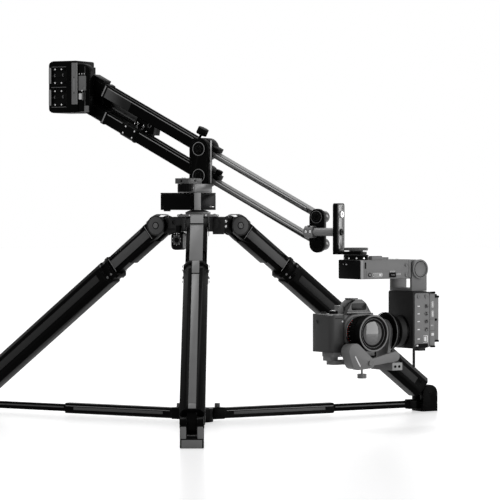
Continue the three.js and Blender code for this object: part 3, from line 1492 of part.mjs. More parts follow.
// The cradle's plate hangs from the rotor to a bar under the lens. A base on it carries two rails and the
// dovetail with the camera's plate, which has a stop block at its left end.
function cradle() {
  const plateOuter = flangeInner - gap;
  const plateInner = plateOuter - cradlePlateThickness;
  const baseTop = cradleBottom + cradleBaseThickness;
  const plateOutline = stadium([tiltForward, cradleBarBottom + cradleFootRadius], cradleFootRadius,
    [tiltForward, tiltHeight], cradlePlateRadius);
  const plate = extrudeAlong(plateOutline, plateInner, plateOuter);
  const bar = boxBetween([cradleBarInner, cradleBarFront, cradleBarBottom],
    [cradleBarOuter, cradleBarBack, cradleBarBottom + cradleBarHeight]);
  const half = cradleBaseWidth / 2;
  const baseOutline = roundedRectangle(cradleBaseReach, tiltForward - half, plateOuter, tiltForward + half,
    [half / 2, 0, 0, half / 2]);
  const base = extrudeUp(baseOutline, cradleBottom, baseTop);
  const slotOutline = stadium([-cradleSlotLength / 2, tiltForward], cradleSlotWidth / 2,
    [cradleSlotLength / 2, tiltForward], cradleSlotWidth / 2, arcSteps);
  const slot = extrudeUp(slotOutline, cradleBottom - overrun, cradleBottom + cradleBaseThickness / 2);
  const plateTop = bodyBottom - gap;
  const plateBottom = plateTop - cameraPlateThickness;
  const shoeSide = new THREE.Shape();
  const shoeHalf = shoeWidth / 2;
  shoeSide.moveTo(tiltForward - shoeHalf, baseTop - gap);
  shoeSide.lineTo(tiltForward + shoeHalf, baseTop - gap);
  shoeSide.lineTo(tiltForward + shoeHalf - shoeTaper, plateBottom + gap);
  shoeSide.lineTo(tiltForward - shoeHalf + shoeTaper, plateBottom + gap);
  shoeSide.closePath();
  const shoe = extrudeAlong(shoeSide, -shoeLength / 2, shoeLength / 2);
  const cameraPlate = boxBetween([cameraPlateLeft, tiltForward - cameraPlateWidth / 2, plateBottom],
    [cameraPlateRight, tiltForward + cameraPlateWidth / 2, plateTop]);
  const stop = boxBetween([plateStopLeft, tiltForward - plateStopWidth / 2, baseTop - gap],
    [plateStopLeft + plateStopLength, tiltForward + plateStopWidth / 2, plateBottom + gap]);
  const railHeight = cradleBottom + cradleBaseThickness / 2;
  const caseBack = gearCaseWidth + gap - gearCaseFront;
  const linkBack = linkFront + linkThickness + gap;
  const rails = [[railPlace, caseBack], [railPlace + railSpacing, linkBack]].map(([place, front]) =>
    cylinderAlong('y', railRadius, front, tiltForward, [place, railHeight], smallSides));
  const hub = cylinderAlong('x', flangeHubRadius, plateInner - flangeStep, plateInner + gap,
    [tiltForward, tiltHeight]);
  return fuse(cut(fuse(plate, base), slot), bar, shoe, cameraPlate, stop, ...rails, hub);
}

// Stills camera body: a rounded plan with a hand grip, a prism housing and a lens mount
function cameraBody() {
  const plan = roundedRectangle(bodyLeft, bodyFront, bodyRight, bodyBack, Array(4).fill(bodyCorner));
  const body = extrudeUp(plan, bodyBottom, bodyShoulder);
  const gripPlan = roundedRectangle(bodyLeft, gripFront, bodyLeft + gripWidth, bodyBack - bodyCorner,
    [gripCorner, gripCorner, gripCorner, gripCorner]);
  const grip = extrudeUp(gripPlan, bodyBottom, gripTop);
  const prismSide = new THREE.Shape();
  prismSide.moveTo(-prismHalfBase, bodyShoulder - overrun);
  prismSide.lineTo(prismHalfBase, bodyShoulder - overrun);
  prismSide.quadraticCurveTo(prismHalfTop, bodyTop, prismHalfTop / 2, bodyTop);
  prismSide.lineTo(-prismHalfTop / 2, bodyTop);
  prismSide.quadraticCurveTo(-prismHalfTop, bodyTop, -prismHalfBase, bodyShoulder - overrun);
  const prism = extrudeAcross(prismSide, prismFront, prismBack);
  const hotShoe = boxBetween([-shoeHalf, prismBack - 2 * shoeHalf, bodyTop - gap],
    [shoeHalf, prismBack, bodyTop + hotShoeHeight]);
  const mount = cylinderAlong('y', mountRadius, mountFront, bodyFront + overrun, [0, lensHeight], largeSides);
  const dial = cylinderAlong('z', dialRadius, bodyShoulder - overrun, bodyShoulder + dialHeight,
    [dialPlace, bodyBack / 2], midSides);
  const eyepiece = boxBetween([-eyepieceWidth / 2, prismBack - overrun, bodyShoulder - overrun],
    [eyepieceWidth / 2, bodyBack + eyepieceDepth, bodyShoulder - overrun + eyepieceHeight]);
  const screen = boxBetween(
    [-screenWidth / 2, bodyBack - screenDepth, lensHeight - screenHeight / 2],
    [screenWidth / 2, bodyBack + overrun, lensHeight + screenHeight / 2]);
  const lugs = [bodyLeft, bodyRight].map((side) => cylinderAlong('y', lugLoop, bodyBack / 2 - lugThick / 2,
    bodyBack / 2 + lugThick / 2, [side, bodyShoulder - lugDrop], smallSides));
  const well = cylinderAlong('z', shutterRadius + gap, gripTop - shutterWell, bodyTop,
    [shutterPlace, gripFront + gripCorner], smallSides);
  return cut(fuse(body, grip, prism, hotShoe, mount, dial, eyepiece, ...lugs), screen, well);
}

function shutterButton() {
  const bottom = gripTop - shutterWell + shutterTravel + gap;
  return cylinderAlong('z', shutterRadius, bottom, bottom + shutterHeight, [0, 0], smallSides);
}

// Lens parts are revolved about the lens axis. Profile heights run forwards from the camera body.
const lensForward = (geometry) => geometry.rotateX(Math.PI / 2).translate(0, 0, lensHeight);

function lensBarrel() {
  const ringStart = lensScaleEnd;
  const ringStop = focusRingEnd;
  return lensForward(revolve([
    [0, lensBack], [lensBaseRadius, lensBack], [lensScaleRadius, lensBack + lensDish / 2],
    [lensScaleRadius, ringStart - gap], [lensCoreRadius, ringStart - gap], [lensCoreRadius, ringStop + gap],
    [lensScaleRadius, ringStop + gap], [lensFrontRadius, ringStop + lensDish / 2],
      [lensFrontRadius, lensFront],
    [lensOpening + lensGlassBulge / 2, lensFront], [lensOpening, lensFront - lensDish],
    [lensOpening / 2, lensFront - lensDish + lensGlassBulge / 2], [0, lensFront - lensDish + lensGlassBulge],
  ], largeSides));
}

function focusRing() {
  const outline = flutedCircle(focusRingRadius, focusToothDepth, focusTeeth);
  const hole = new THREE.Path();
  hole.absarc(0, 0, lensCoreRadius + gap, 0, 2 * Math.PI, true);
  outline.holes.push(hole);
  const settings = { depth: focusRingEnd - lensScaleEnd, bevelEnabled: false, curveSegments: largeSides / 2 };
  return lensForward(new THREE.ExtrudeGeometry(outline, settings).translate(0, 0, lensScaleEnd));
}

// Focus motor: a case with three round corners that carries the drive gear, and a link to the far rail
const gearDistance = focusRingRadius + gearRadius + gearMeshGap;
const gearAlong = -Math.sqrt(gearDistance ** 2 - gearDrop ** 2);
const gearHeight = lensHeight - gearDrop;

function focusGear() {
  const middle = (lensScaleEnd + focusRingEnd) / 2;
  const disc = extrudeAcross(flutedCircle(gearRadius, gearToothDepth, gearTeeth),
    -middle - gearWidth / 2, gearWidth / 2 - middle);
  const shaft = cylinderAlong('y', gearShaftRadius, -gearCaseFront + gearCaseWidth - gearWidth,
    gearWidth / 2 - middle - gap, [0, 0], smallSides);
  return fuse(disc, shaft);
}

function focusMotor() {
  const big = [gearAlong - gearCaseShift, gearHeight];
  const far = [big[0] + gearCaseEndAlong, big[1] - gearCaseEndDrop];
  const lowCorner = [big[0] + gearCaseLowAlong, big[1] - gearCaseLowDrop];
  const front = -gearCaseFront;
  const back = front + gearCaseWidth;
  const caseLayer = (inset, from, to) => {
    const corners = [[big, gearCaseRadius], [far, gearCaseEndRadius], [lowCorner, gearCaseLowRadius]];
    return fuse(...corners.map(([centre, radius], index) => {
      const [next, nextRadius] = corners[(index + 1) % corners.length];
      return extrudeAcross(stadium(centre, radius - inset, next, nextRadius - inset), from, to);
    }));
  };
  const layers = fuse(caseLayer(0, front, front + gearCasePlate),
    caseLayer(gearCaseInset, front + gearCasePlate - gap, back));
  const linkEnd = [far[0] + linkAlong, far[1] + linkRise];
  const link = extrudeAcross(stadium(far, linkRadius, linkEnd, linkEndRadius), linkFront,
    linkFront + linkThickness);
  const caseBody = fuse(layers, link);
  const shaftHole = cylinderAlong('y', gearShaftRadius + gap, back - gearWidth - gap, back + overrun,
    [gearAlong, gearHeight], smallSides);
  const pivot = cylinderAlong('y', focusPivotRadius, front - focusPivotRise, front + gap, far, smallSides);
  const clampY = (front + back) / 2;
  const screwAlong = far[0] - thumbScrewShift;
  const screwHole = cylinderAlong('z', thumbStemRadius + gap, far[1] - 2 * gearCaseEndRadius, far[1],
    [screwAlong, clampY], smallSides);
  return cut(fuse(caseBody, pivot), shaftHole, screwHole);
}

function focusScrew() {
  const top = 0;
  const head = extrudeUp(flutedCircle(thumbHeadRadius, gearToothDepth, smallSides), top - thumbStemLength
    - thumbHeadHeight, top - thumbStemLength);
  const stem = cylinderAlong('z', thumbStemRadius, top - thumbStemLength - gap, gearCaseEndRadius / 2, [0, 0],
    smallSides);
  return fuse(head, stem);
}

function addArm(parent) {
  const turned = groupAt(0, 0, 0, jibYaw);
  const lower = groupAt(pinSetback, armOffset, lowerPinHeight);
  const upper = groupAt(pinSetback, armOffset, upperPinHeight);
  lower.rotation.y = radians(armPitch);
  upper.rotation.y = radians(armPitch);
  const jawTop = barHeight / 2 + gap + knuckleJawRise;
  upper.add(mesh('upper_beam', beam(upperBeamHeight, clampScrewPlace, upperBeamHeight / 2, false),
    blackPaint));
  lower.add(mesh('lower_beam', beam(lowerBeamHeight, lowerClampPlace, jawTop, true), blackPaint));
  upper.add(mesh('upper_bar', frontBar(), silver));
  lower.add(mesh('lower_bar', frontBar(), silver));
  lower.add(mesh('tilt_motor', tiltMotor(), blackPaint));
  const upperScrew = groupAt(clampScrewPlace, 0, 0);
  upperScrew.add(mesh('upper_clamp_screw',
    clampScrew(clampKnobRadius, clampKnobHeight, clampKnobNeck, upperBeamHeight / 2, clampKnobFlutes),
      blackPlastic));
  upper.add(upperScrew);
  const lowerScrew = groupAt(lowerClampPlace, 0, 0);
  lowerScrew.add(mesh('lower_clamp_screw',
    clampScrew(lowerClampRadius, lowerClampHeight, lowerClampNeck, jawTop, clampKnobFlutes), blackPlastic));
  lower.add(lowerScrew);
  turned.add(lower, upper);

  const rearReach = rearArmLength * Math.cos(radians(armPitch));
  const rearRise = rearArmLength * Math.sin(radians(armPitch));
  const rear = groupAt(pinSetback - rearReach, armOffset, upperPinHeight + rearRise);
  rear.add(mesh('nose_housing', nose(), blackPaint));
  rear.add(mesh('rear_switch', rearSwitch(), greyPanel));
  rear.add(mesh('battery_module', batteryModule(), blackPaint));
  ['lower', 'upper'].forEach((name, index) => {
    const plate = groupAt(bayCentre, 0, bayHeights[index]);
    plate.add(mesh(`battery_plate_${name}`, batteryPlate(), blackPlastic));
    rear.add(plate);
  });
  turned.add(rear);

  const front = groupAt(pinSetback + frontReach, armOffset, 0);
  front.add(mesh('front_bracket', frontBracket(), blackPaint));
  front.add(mesh('rod_clamp', rodClamp(), silver));
  front.add(mesh('offset_rod', offsetRod(), silver));
  front.add(mesh('head_bracket', headBracket(), blackPaint));
  const knob = groupAt(headAxisAlong, -offsetOut, 0);
  knob.add(mesh('mount_knob', mountKnob(), silver));
  front.add(knob);
  turned.add(front);
  parent.add(turned);
}

function addHead(parent) {
  const yaw = radians(jibYaw);
  const along = pinSetback + frontReach + headAxisAlong;
  const across = armOffset - offsetOut;
  const x = along * Math.cos(yaw) - across * Math.sin(yaw);
  const y = along * Math.sin(yaw) + across * Math.cos(yaw);
  const head = groupAt(x, y, 0, headYaw);
  head.add(
    mesh('head_box', headBox(), greyPaint),
    mesh('yoke', yoke(), greyPaint),
    mesh('tilt_box', tiltBox(), greyPanel),
    mesh('tilt_rotor', tiltRotor(), blackPaint),
    mesh('cradle', cradle(), greyPaint),
    mesh('camera_body', cameraBody(), leather),
    mesh('lens_barrel', lensBarrel(), blackPaint),
    mesh('focus_ring', focusRing(), rubber),
    mesh('focus_motor', focusMotor(), greyPaint),
  );
  const shutter = groupAt(shutterPlace, gripFront + gripCorner, 0);
  shutter.add(mesh('shutter_button', shutterButton(), silver));
  const gear = groupAt(gearAlong, 0, gearHeight);
  gear.add(mesh('focus_gear', focusGear(), blackPlastic));
  const screw = groupAt(gearAlong - gearCaseShift + gearCaseEndAlong - thumbScrewShift,
    gearCaseWidth / 2 - gearCaseFront, gearHeight - gearCaseEndDrop - gearCaseEndRadius);
  screw.add(mesh('focus_screw', focusScrew(), blackPlastic));
  head.add(shutter, gear, screw);
  parent.add(head);
}

addStand(crane);
addPanParts(crane);
addArm(crane);
addHead(crane);
export default crane;
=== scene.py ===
import json
import math

import bmesh
import bpy
from mathutils import Matrix, Vector


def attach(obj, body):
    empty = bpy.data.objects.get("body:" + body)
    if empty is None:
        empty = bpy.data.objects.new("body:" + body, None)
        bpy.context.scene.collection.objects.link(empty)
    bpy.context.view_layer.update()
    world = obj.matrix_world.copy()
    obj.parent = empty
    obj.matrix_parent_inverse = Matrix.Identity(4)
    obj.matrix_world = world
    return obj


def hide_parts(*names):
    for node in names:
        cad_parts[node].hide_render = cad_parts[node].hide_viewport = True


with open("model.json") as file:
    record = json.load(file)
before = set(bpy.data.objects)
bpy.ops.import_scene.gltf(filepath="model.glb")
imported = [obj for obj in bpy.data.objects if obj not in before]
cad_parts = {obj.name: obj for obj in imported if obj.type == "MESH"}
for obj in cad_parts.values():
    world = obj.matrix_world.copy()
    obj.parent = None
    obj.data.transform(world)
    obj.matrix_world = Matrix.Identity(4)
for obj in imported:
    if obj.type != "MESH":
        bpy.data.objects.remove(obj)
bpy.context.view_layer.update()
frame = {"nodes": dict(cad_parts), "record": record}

# Camera jib crane on a three-legged stand, dressed for a studio picture. Pieces are modelled in millimetres
# on a floor of their own, and brought to metres where they are seated on what carries them.
nodes = frame["nodes"]
MM = 0.001
LEGS = {"front": -90, "right": 30, "left": 150}
JIB_YAW = -28.5


# Camera at the photograph's angle
PHOTO_SIDE = 500
FOCAL_PIXELS = 2600
SENSOR = 36
CAMERA_PLACE = (0.1156, -5.778, 0.493)
CAMERA_DIP_DEGREES = 1.1017
camera_data = bpy.data.cameras.new("studio_camera")
camera_data.sensor_width = SENSOR
camera_data.lens = FOCAL_PIXELS / PHOTO_SIDE * SENSOR
camera_data.clip_start = 0.1
camera_data.clip_end = 60
camera = bpy.data.objects.new("studio_camera", camera_data)
bpy.context.scene.collection.objects.link(camera)
camera.location = CAMERA_PLACE
camera.rotation_euler = (math.radians(90 - CAMERA_DIP_DEGREES), 0, 0)
bpy.context.scene.camera = camera


# Light, floor and background
LAMPS = [
    # name, place, size, watts
    ("softbox_above", (-0.5, 0.85, 3.3), (2.4, 0.8), 42),
    ("softbox_right", (3.0, -1.15, 0.75), (1.9, 1.5), 36),
    ("softbox_back", (2.6, 1.7, 0.85), (0.8, 1.2), 18),
    ("softbox_left", (-3.4, -2.4, 2.6), (1.2, 1.2), 12),
]
LAMP_AIM = Vector((0.05, 0, 0.4))
WORLD_LEVEL = 0.42
FLOOR_SIZE = 40
FLOOR_DROP = 0.0002
FLOOR_TONE = (0.55, 0.55, 0.555, 1)
FLOOR_ROUGHNESS = 0.3
FLOOR_GLOW = 0.52
WHITE = (1, 1, 1, 1)


def add_lamp(name, place, size, watts):
    lamp = bpy.data.lights.new(name, "AREA")
    lamp.shape = "RECTANGLE"
    lamp.size, lamp.size_y = size
    lamp.energy = watts
    holder = bpy.data.objects.new(name, lamp)
    bpy.context.scene.collection.objects.link(holder)
    holder.location = place
    holder.rotation_euler = (LAMP_AIM - Vector(place)).to_track_quat("-Z", "Y").to_euler()


def link(tree, source, target):
    tree.links.new(source, target)


def seen_directly(tree):
    """1 for camera, mirror and glass rays, which show the plain white background."""
    path = tree.nodes.new("ShaderNodeLightPath")
    first = tree.nodes.new("ShaderNodeMath")
    first.operation = "MAXIMUM"
    link(tree, path.outputs["Is Camera Ray"], first.inputs[0])
    link(tree, path.outputs["Is Glossy Ray"], first.inputs[1])
    second = tree.nodes.new("ShaderNodeMath")
    second.operation = "MAXIMUM"
    link(tree, first.outputs[0], second.inputs[0])
    link(tree, path.outputs["Is Transmission Ray"], second.inputs[1])
    return second.outputs[0]


def add_world():
    world = bpy.data.worlds.new("studio")
    bpy.context.scene.world = world
    world.use_nodes = True
    tree = world.node_tree
    tree.nodes.clear()
    plain = tree.nodes.new("ShaderNodeBackground")
    plain.inputs["Color"].default_value = WHITE
    plain.inputs["Strength"].default_value = WORLD_LEVEL
    white = tree.nodes.new("ShaderNodeBackground")
    white.inputs["Color"].default_value = WHITE
    white.inputs["Strength"].default_value = 1.0
    mix = tree.nodes.new("ShaderNodeMixShader")
    out = tree.nodes.new("ShaderNodeOutputWorld")
    link(tree, seen_directly(tree), mix.inputs[0])
    link(tree, plain.outputs[0], mix.inputs[1])
    link(tree, white.outputs[0], mix.inputs[2])
    link(tree, mix.outputs[0], out.inputs[0])


def add_floor():
    bpy.ops.object.select_all(action="DESELECT")
    bpy.ops.mesh.primitive_plane_add(size=FLOOR_SIZE, location=(0, 0, -FLOOR_DROP))
    floor = bpy.context.object
    floor.name = "studio_floor"
    material = bpy.data.materials.new("studio_floor")
    material.use_nodes = True
    tree = material.node_tree
    tree.nodes.clear()
    matt = tree.nodes.new("ShaderNodeBsdfPrincipled")
    matt.inputs["Base Color"].default_value = FLOOR_TONE
    matt.inputs["Roughness"].default_value = FLOOR_ROUGHNESS
    matt.inputs["Specular IOR Level"].default_value = 0.5
    glow = tree.nodes.new("ShaderNodeEmission")
    glow.inputs["Color"].default_value = WHITE
    amount = tree.nodes.new("ShaderNodeMath")
    amount.operation = "MULTIPLY"
    amount.inputs[1].default_value = FLOOR_GLOW
    link(tree, seen_directly(tree), amount.inputs[0])
    link(tree, amount.outputs[0], glow.inputs["Strength"])
    add = tree.nodes.new("ShaderNodeAddShader")
    out = tree.nodes.new("ShaderNodeOutputMaterial")
    link(tree, matt.outputs[0], add.inputs[0])
    link(tree, glow.outputs[0], add.inputs[1])
    link(tree, add.outputs[0], out.inputs[0])
    floor.data.materials.append(material)


for lamp_facts in LAMPS:
    add_lamp(*lamp_facts)
add_world()
add_floor()
bpy.context.scene.view_settings.view_transform = "Standard"


# Shared effects
def new_group(name, inputs, outputs):
    group = bpy.data.node_groups.new(name, "ShaderNodeTree")
    for label, kind, value in inputs:
        socket = group.interface.new_socket(label, in_out="INPUT", socket_type=kind)
        socket.default_value = value
    for label, kind in outputs:
        group.interface.new_socket(label, in_out="OUTPUT", socket_type=kind)
    return group, group.nodes.new("NodeGroupInput"), group.nodes.new("NodeGroupOutput")


FLOAT, COLOUR, VECTOR = "NodeSocketFloat", "NodeSocketColor", "NodeSocketVector"


# Places of a colour mix's sockets, which share their names with the mix's other kinds
BELOW, ABOVE, MIXED = 6, 7, 2


def mix_colours(tree, mask, below, above):
    """One colour where a mask is 0 and another where it is 1, each a plain colour or a node's output."""
    mix = tree.nodes.new("ShaderNodeMix")
    mix.data_type = "RGBA"
    link(tree, mask, mix.inputs["Factor"])
    for colour, socket in ((below, mix.inputs[BELOW]), (above, mix.inputs[ABOVE])):
        if isinstance(colour, tuple):
            socket.default_value = colour
        else:
            link(tree, colour, socket)
    return mix.outputs[MIXED]


def surface_noise(group, scale, detail):
    """A noise over an object's own coordinates, with the scale that an output gives."""
    place = group.nodes.new("ShaderNodeTexCoord")
    noise = group.nodes.new("ShaderNodeTexNoise")
    noise.inputs["Detail"].default_value = detail
    link(group, place.outputs["Object"], noise.inputs["Vector"])
    link(group, scale, noise.inputs["Scale"])
    return noise


# Between which cosines of the rounded and the true normal an edge is lightened for wear and painted
# highlight, and between which levels of the noise the lightening comes in patches
EDGE_COSINES = (0.995, 0.86)
PATCH_NOISE = (0.35, 0.6)


def worn_and_highlit_edges_group():
    """A mask of the outer edges, where a finish rubs bright and a painted highlight lies, broken up by a
    fine noise.
    """
    group, start, end = new_group("worn_and_highlit_edges", [("Radius", FLOAT, 0.0006), ("Breakup", FLOAT, 300.0)],
        [("Mask", FLOAT)])
    rounded = group.nodes.new("ShaderNodeBevel")
    rounded.samples = 4
    link(group, start.outputs["Radius"], rounded.inputs["Radius"])
    flat = group.nodes.new("ShaderNodeNewGeometry")
    dot = group.nodes.new("ShaderNodeVectorMath")
    dot.operation = "DOT_PRODUCT"
    link(group, rounded.outputs["Normal"], dot.inputs[0])
    link(group, flat.outputs["Normal"], dot.inputs[1])
    edge = group.nodes.new("ShaderNodeMapRange")
    edge.inputs["From Min"].default_value, edge.inputs["From Max"].default_value = EDGE_COSINES
    link(group, dot.outputs["Value"], edge.inputs["Value"])
    noise = surface_noise(group, start.outputs["Breakup"], 2)
    patches = group.nodes.new("ShaderNodeMapRange")
    patches.inputs["From Min"].default_value, patches.inputs["From Max"].default_value = PATCH_NOISE
    link(group, noise.outputs["Fac"], patches.inputs["Value"])
    both = group.nodes.new("ShaderNodeMath")
    both.operation = "MULTIPLY"
    link(group, edge.outputs[0], both.inputs[0])
    link(group, patches.outputs[0], both.inputs[1])
    link(group, both.outputs[0], end.inputs["Mask"])
    return group


def two_tone_group():
    """A colour that drifts between two near tones, as a finish does over a large face."""
    group, start, end = new_group(
        "two_tone",
        [("Dark", COLOUR, (0, 0, 0, 1)), ("Light", COLOUR, (1, 1, 1, 1)), ("Scale", FLOAT, 20.0)],
        [("Color", COLOUR), ("Drift", FLOAT)],
    )
    noise = surface_noise(group, start.outputs["Scale"], 4)
    drift = noise.outputs["Fac"]
    link(group, mix_colours(group, drift, start.outputs["Dark"], start.outputs["Light"]),
        end.inputs["Color"])
    link(group, drift, end.inputs["Drift"])
    return group


def grain_group():
    """The height of a fine blasted or moulded grain."""
    group, start, end = new_group("fine_grain", [("Scale", FLOAT, 900.0)], [("Height", FLOAT)])
    noise = surface_noise(group, start.outputs["Scale"], 2)
    link(group, noise.outputs["Fac"], end.inputs["Height"])
    return group


def brushed_group():
    """The height of long fine lines, as brushing leaves them. Stretch shortens the pattern's axes."""
    group, start, end = new_group(
        "brushed_lines", [("Stretch", VECTOR, (20, 900, 900)), ("Turn", VECTOR, (0, 0, 0))],
        [("Height", FLOAT)]
    )
    place = group.nodes.new("ShaderNodeTexCoord")
    turn = group.nodes.new("ShaderNodeVectorRotate")
    turn.rotation_type = "EULER_XYZ"
    link(group, place.outputs["Object"], turn.inputs["Vector"])
    link(group, start.outputs["Turn"], turn.inputs["Rotation"])
    stretch = group.nodes.new("ShaderNodeVectorMath")
    stretch.operation = "MULTIPLY"
    link(group, turn.outputs[0], stretch.inputs[0])
    link(group, start.outputs["Stretch"], stretch.inputs[1])
    noise = group.nodes.new("ShaderNodeTexNoise")
    noise.inputs["Scale"].default_value = 1
    noise.inputs["Detail"].default_value = 3
    link(group, stretch.outputs[0], noise.inputs["Vector"])
    link(group, noise.outputs["Fac"], end.inputs["Height"])
    return group


def leather_group():
    """The height of a pebbled covering: rounded cells with creases between them."""
    group, start, end = new_group("pebbled_covering", [("Scale", FLOAT, 700.0)], [("Height", FLOAT)])
    place = group.nodes.new("ShaderNodeTexCoord")
    cells = group.nodes.new("ShaderNodeTexVoronoi")
    cells.feature = "SMOOTH_F1"
    link(group, place.outputs["Object"], cells.inputs["Vector"])
    link(group, start.outputs["Scale"], cells.inputs["Scale"])
    rise = group.nodes.new("ShaderNodeMath")
    rise.operation = "SUBTRACT"
    rise.inputs[0].default_value = 1
    link(group, cells.outputs["Distance"], rise.inputs[1])
    link(group, rise.outputs[0], end.inputs["Height"])
    return group


def fade_group():
    """A mask that is 1 at one place along X and falls smoothly to 0 at another."""
    group, start, end = new_group("fade_along_x", [("From", FLOAT, 0.0), ("To", FLOAT, 1.0)],
        [("Mask", FLOAT)])
    place = group.nodes.new("ShaderNodeTexCoord")
    parts = group.nodes.new("ShaderNodeSeparateXYZ")
    slope = group.nodes.new("ShaderNodeMapRange")
    slope.interpolation_type = "SMOOTHSTEP"
    slope.inputs["To Min"].default_value = 1
    slope.inputs["To Max"].default_value = 0
    link(group, place.outputs["Object"], parts.inputs[0])
    link(group, parts.outputs["X"], slope.inputs["Value"])
    link(group, start.outputs["From"], slope.inputs["From Min"])
    link(group, start.outputs["To"], slope.inputs["From Max"])
    link(group, slope.outputs[0], end.inputs["Mask"])
    return group


WORN_AND_HIGHLIT, TWO_TONE, GRAIN, BRUSHED, LEATHER, FADE = (
    worn_and_highlit_edges_group(), two_tone_group(), grain_group(), brushed_group(), leather_group(), fade_group()
)


def place_group(tree, group, **values):
    node = tree.nodes.new("ShaderNodeGroup")
    node.node_tree = group
    for label, value in values.items():
        node.inputs[label].default_value = value
    return node


def tone(value, tint=(1, 1, 1)):
    return (value * tint[0], value * tint[1], value * tint[2], 1)


RELIEF_DISTANCE = 0.0004
LEAST_ROUGHNESS = 0.02


def make_material(
    name, dark, light, roughness, metallic=0.0, specular=0.5, tint=(1, 1, 1), scale=25.0, spread=0.08,
    grain=("grain", 900.0), bump=0.05, edge_tone=None, edge_radius=0.0005, coat=0.0, fade=None,
):
    """One finish: two near tones, roughness that follows them, a bump, and perhaps edges lightened for wear
    and painted highlight, or a fade.
    """
    material = bpy.data.materials.new(name)
    material.use_nodes = True
    tree = material.node_tree
    shader = tree.nodes["Principled BSDF"]
    shader.inputs["Metallic"].default_value = metallic
    shader.inputs["Specular IOR Level"].default_value = specular
    shader.inputs["Coat Weight"].default_value = coat
    colour = place_group(tree, TWO_TONE, Dark=tone(dark, tint), Light=tone(light, tint), Scale=scale)
    base = colour.outputs["Color"]
    # Pale edges stand both for wear and for painted highlights
    if edge_tone is not None:
        edge_lightening = place_group(tree, WORN_AND_HIGHLIT, Radius=edge_radius)
        base = mix_colours(tree, edge_lightening.outputs["Mask"], base, tone(edge_tone, tint))
    if fade is not None:
        begin, finish, faint = fade
        falling = place_group(tree, FADE, From=begin, To=finish)
        base = mix_colours(tree, falling.outputs["Mask"], tone(faint, tint), base)
    link(tree, base, shader.inputs["Base Color"])
    rough = tree.nodes.new("ShaderNodeMapRange")
    rough.inputs["To Min"].default_value = max(LEAST_ROUGHNESS, roughness - spread)
    rough.inputs["To Max"].default_value = roughness + spread
    link(tree, colour.outputs["Drift"], rough.inputs["Value"])
    link(tree, rough.outputs[0], shader.inputs["Roughness"])
    kind, *facts = grain
    if kind == "grain":
        height = place_group(tree, GRAIN, Scale=facts[0])
    elif kind == "leather":
        height = place_group(tree, LEATHER, Scale=facts[0])
    else:
        height = place_group(tree, BRUSHED, Stretch=facts[0], Turn=facts[1])
    relief = tree.nodes.new("ShaderNodeBump")
    relief.inputs["Strength"].default_value = bump
    relief.inputs["Distance"].default_value = RELIEF_DISTANCE
    link(tree, height.outputs["Height"], relief.inputs["Height"])
    link(tree, relief.outputs["Normal"], shader.inputs["Normal"])
    return material


# Where along the stand's X the painted reflection on the upper beam's end begins and ends its fade, in
# metres, and to what tone
FADE_FROM = -0.228
FADE_TO = -0.17
FADED_TONE = 0.002
black_metal = make_material(
    "satin_black_anodised", 0.0008, 0.002, 0.3, specular=0.02, edge_tone=0.1, edge_radius=0.0004, bump=0.02)
black_gloss = make_material(
    "glossy_black_paint", 0.001, 0.002, 0.12, specular=0.12, edge_tone=0.1, edge_radius=0.0004, bump=0.01)
silver_metal = make_material(
    "satin_silver_anodised", 0.17, 0.21, 0.44, metallic=0.3, specular=0.3, scale=12, bump=0.01,
    grain=("brushed", (40, 1200, 1200), (0, 0, math.radians(-JIB_YAW))))
# Camera enamel with strongly pale edges: painted highlights, the white lines along its edges
black_enamel = make_material(
    "camera_black_enamel", 0.002, 0.004, 0.16, specular=0.35, edge_tone=0.5, edge_radius=0.0007, bump=0.02)
# A grey that fades to black along X, for a painted reflection
painted_reflection_fade = make_material(
    "satin_metal_with_painted_reflection", 0.12, 0.14, 0.42, specular=0.15, bump=0.05, fade=(FADE_FROM, FADE_TO, FADED_TONE))
bright_metal = make_material("polished_steel", 0.5, 0.6, 0.24, metallic=1.0, bump=0.02)
grey_metal = make_material(
    "satin_grey_anodised", 0.15, 0.185, 0.42, specular=0.2, edge_tone=0.3, edge_radius=0.0003, bump=0.05)
grey_panel = make_material(
    "fine_textured_grey", 0.17, 0.205, 0.5, specular=0.2, edge_tone=0.3, edge_radius=0.0003, bump=0.1,
    grain=("grain", 1600.0))
mid_grey = make_material(
    "dark_satin_anodised", 0.07, 0.09, 0.45, specular=0.15, edge_tone=0.2, edge_radius=0.0003, bump=0.05)
# Pale anodised parts, and the painted highlights on edges and faces that catch the light
pale_metal = make_material("pale_anodised_and_painted_highlight", 0.26, 0.33, 0.45, specular=0.25, edge_tone=0.45, bump=0.05)
strip_metal = make_material("satin_strip_metal", 0.1, 0.13, 0.42, metallic=0.2, specular=0.3, bump=0.03)
charcoal = make_material(
    "charcoal_powder_coat", 0.016, 0.022, 0.5, specular=0.12, edge_tone=0.07, edge_radius=0.0004, bump=0.12,
    grain=("grain", 1500.0))
black_plastic = make_material(
    "moulded_black_plastic", 0.002, 0.004, 0.42, specular=0.03, bump=0.1, grain=("grain", 1400.0))
black_rubber = make_material("ribbed_black_rubber", 0.002, 0.004, 0.58, specular=0.03, bump=0.1)
camera_grain = make_material(
    "pebbled_black_covering", 0.02, 0.035, 0.48, specular=0.3, bump=0.5, grain=("leather", 900.0))
white_print = make_material("white_print", 0.74, 0.82, 0.5, specular=0.3, bump=0.02, scale=200)
red_print = make_material("red_print", 0.5, 0.6, 0.5, specular=0.3, tint=(1.0, 0.03, 0.03), bump=0.02,
    scale=200)
lens_glass = make_material("coated_lens_glass", 0.03, 0.06, 0.05, specular=0.5, spread=0.01, bump=0.0,
    coat=0.3)
BLACK, SILVER, GREY = "black_anodised", "silver_anodised", "grey_anodised"
PANEL, PLASTIC, RUBBER, COVERING = "grey_panel", "black_plastic", "black_rubber", "camera_grain"
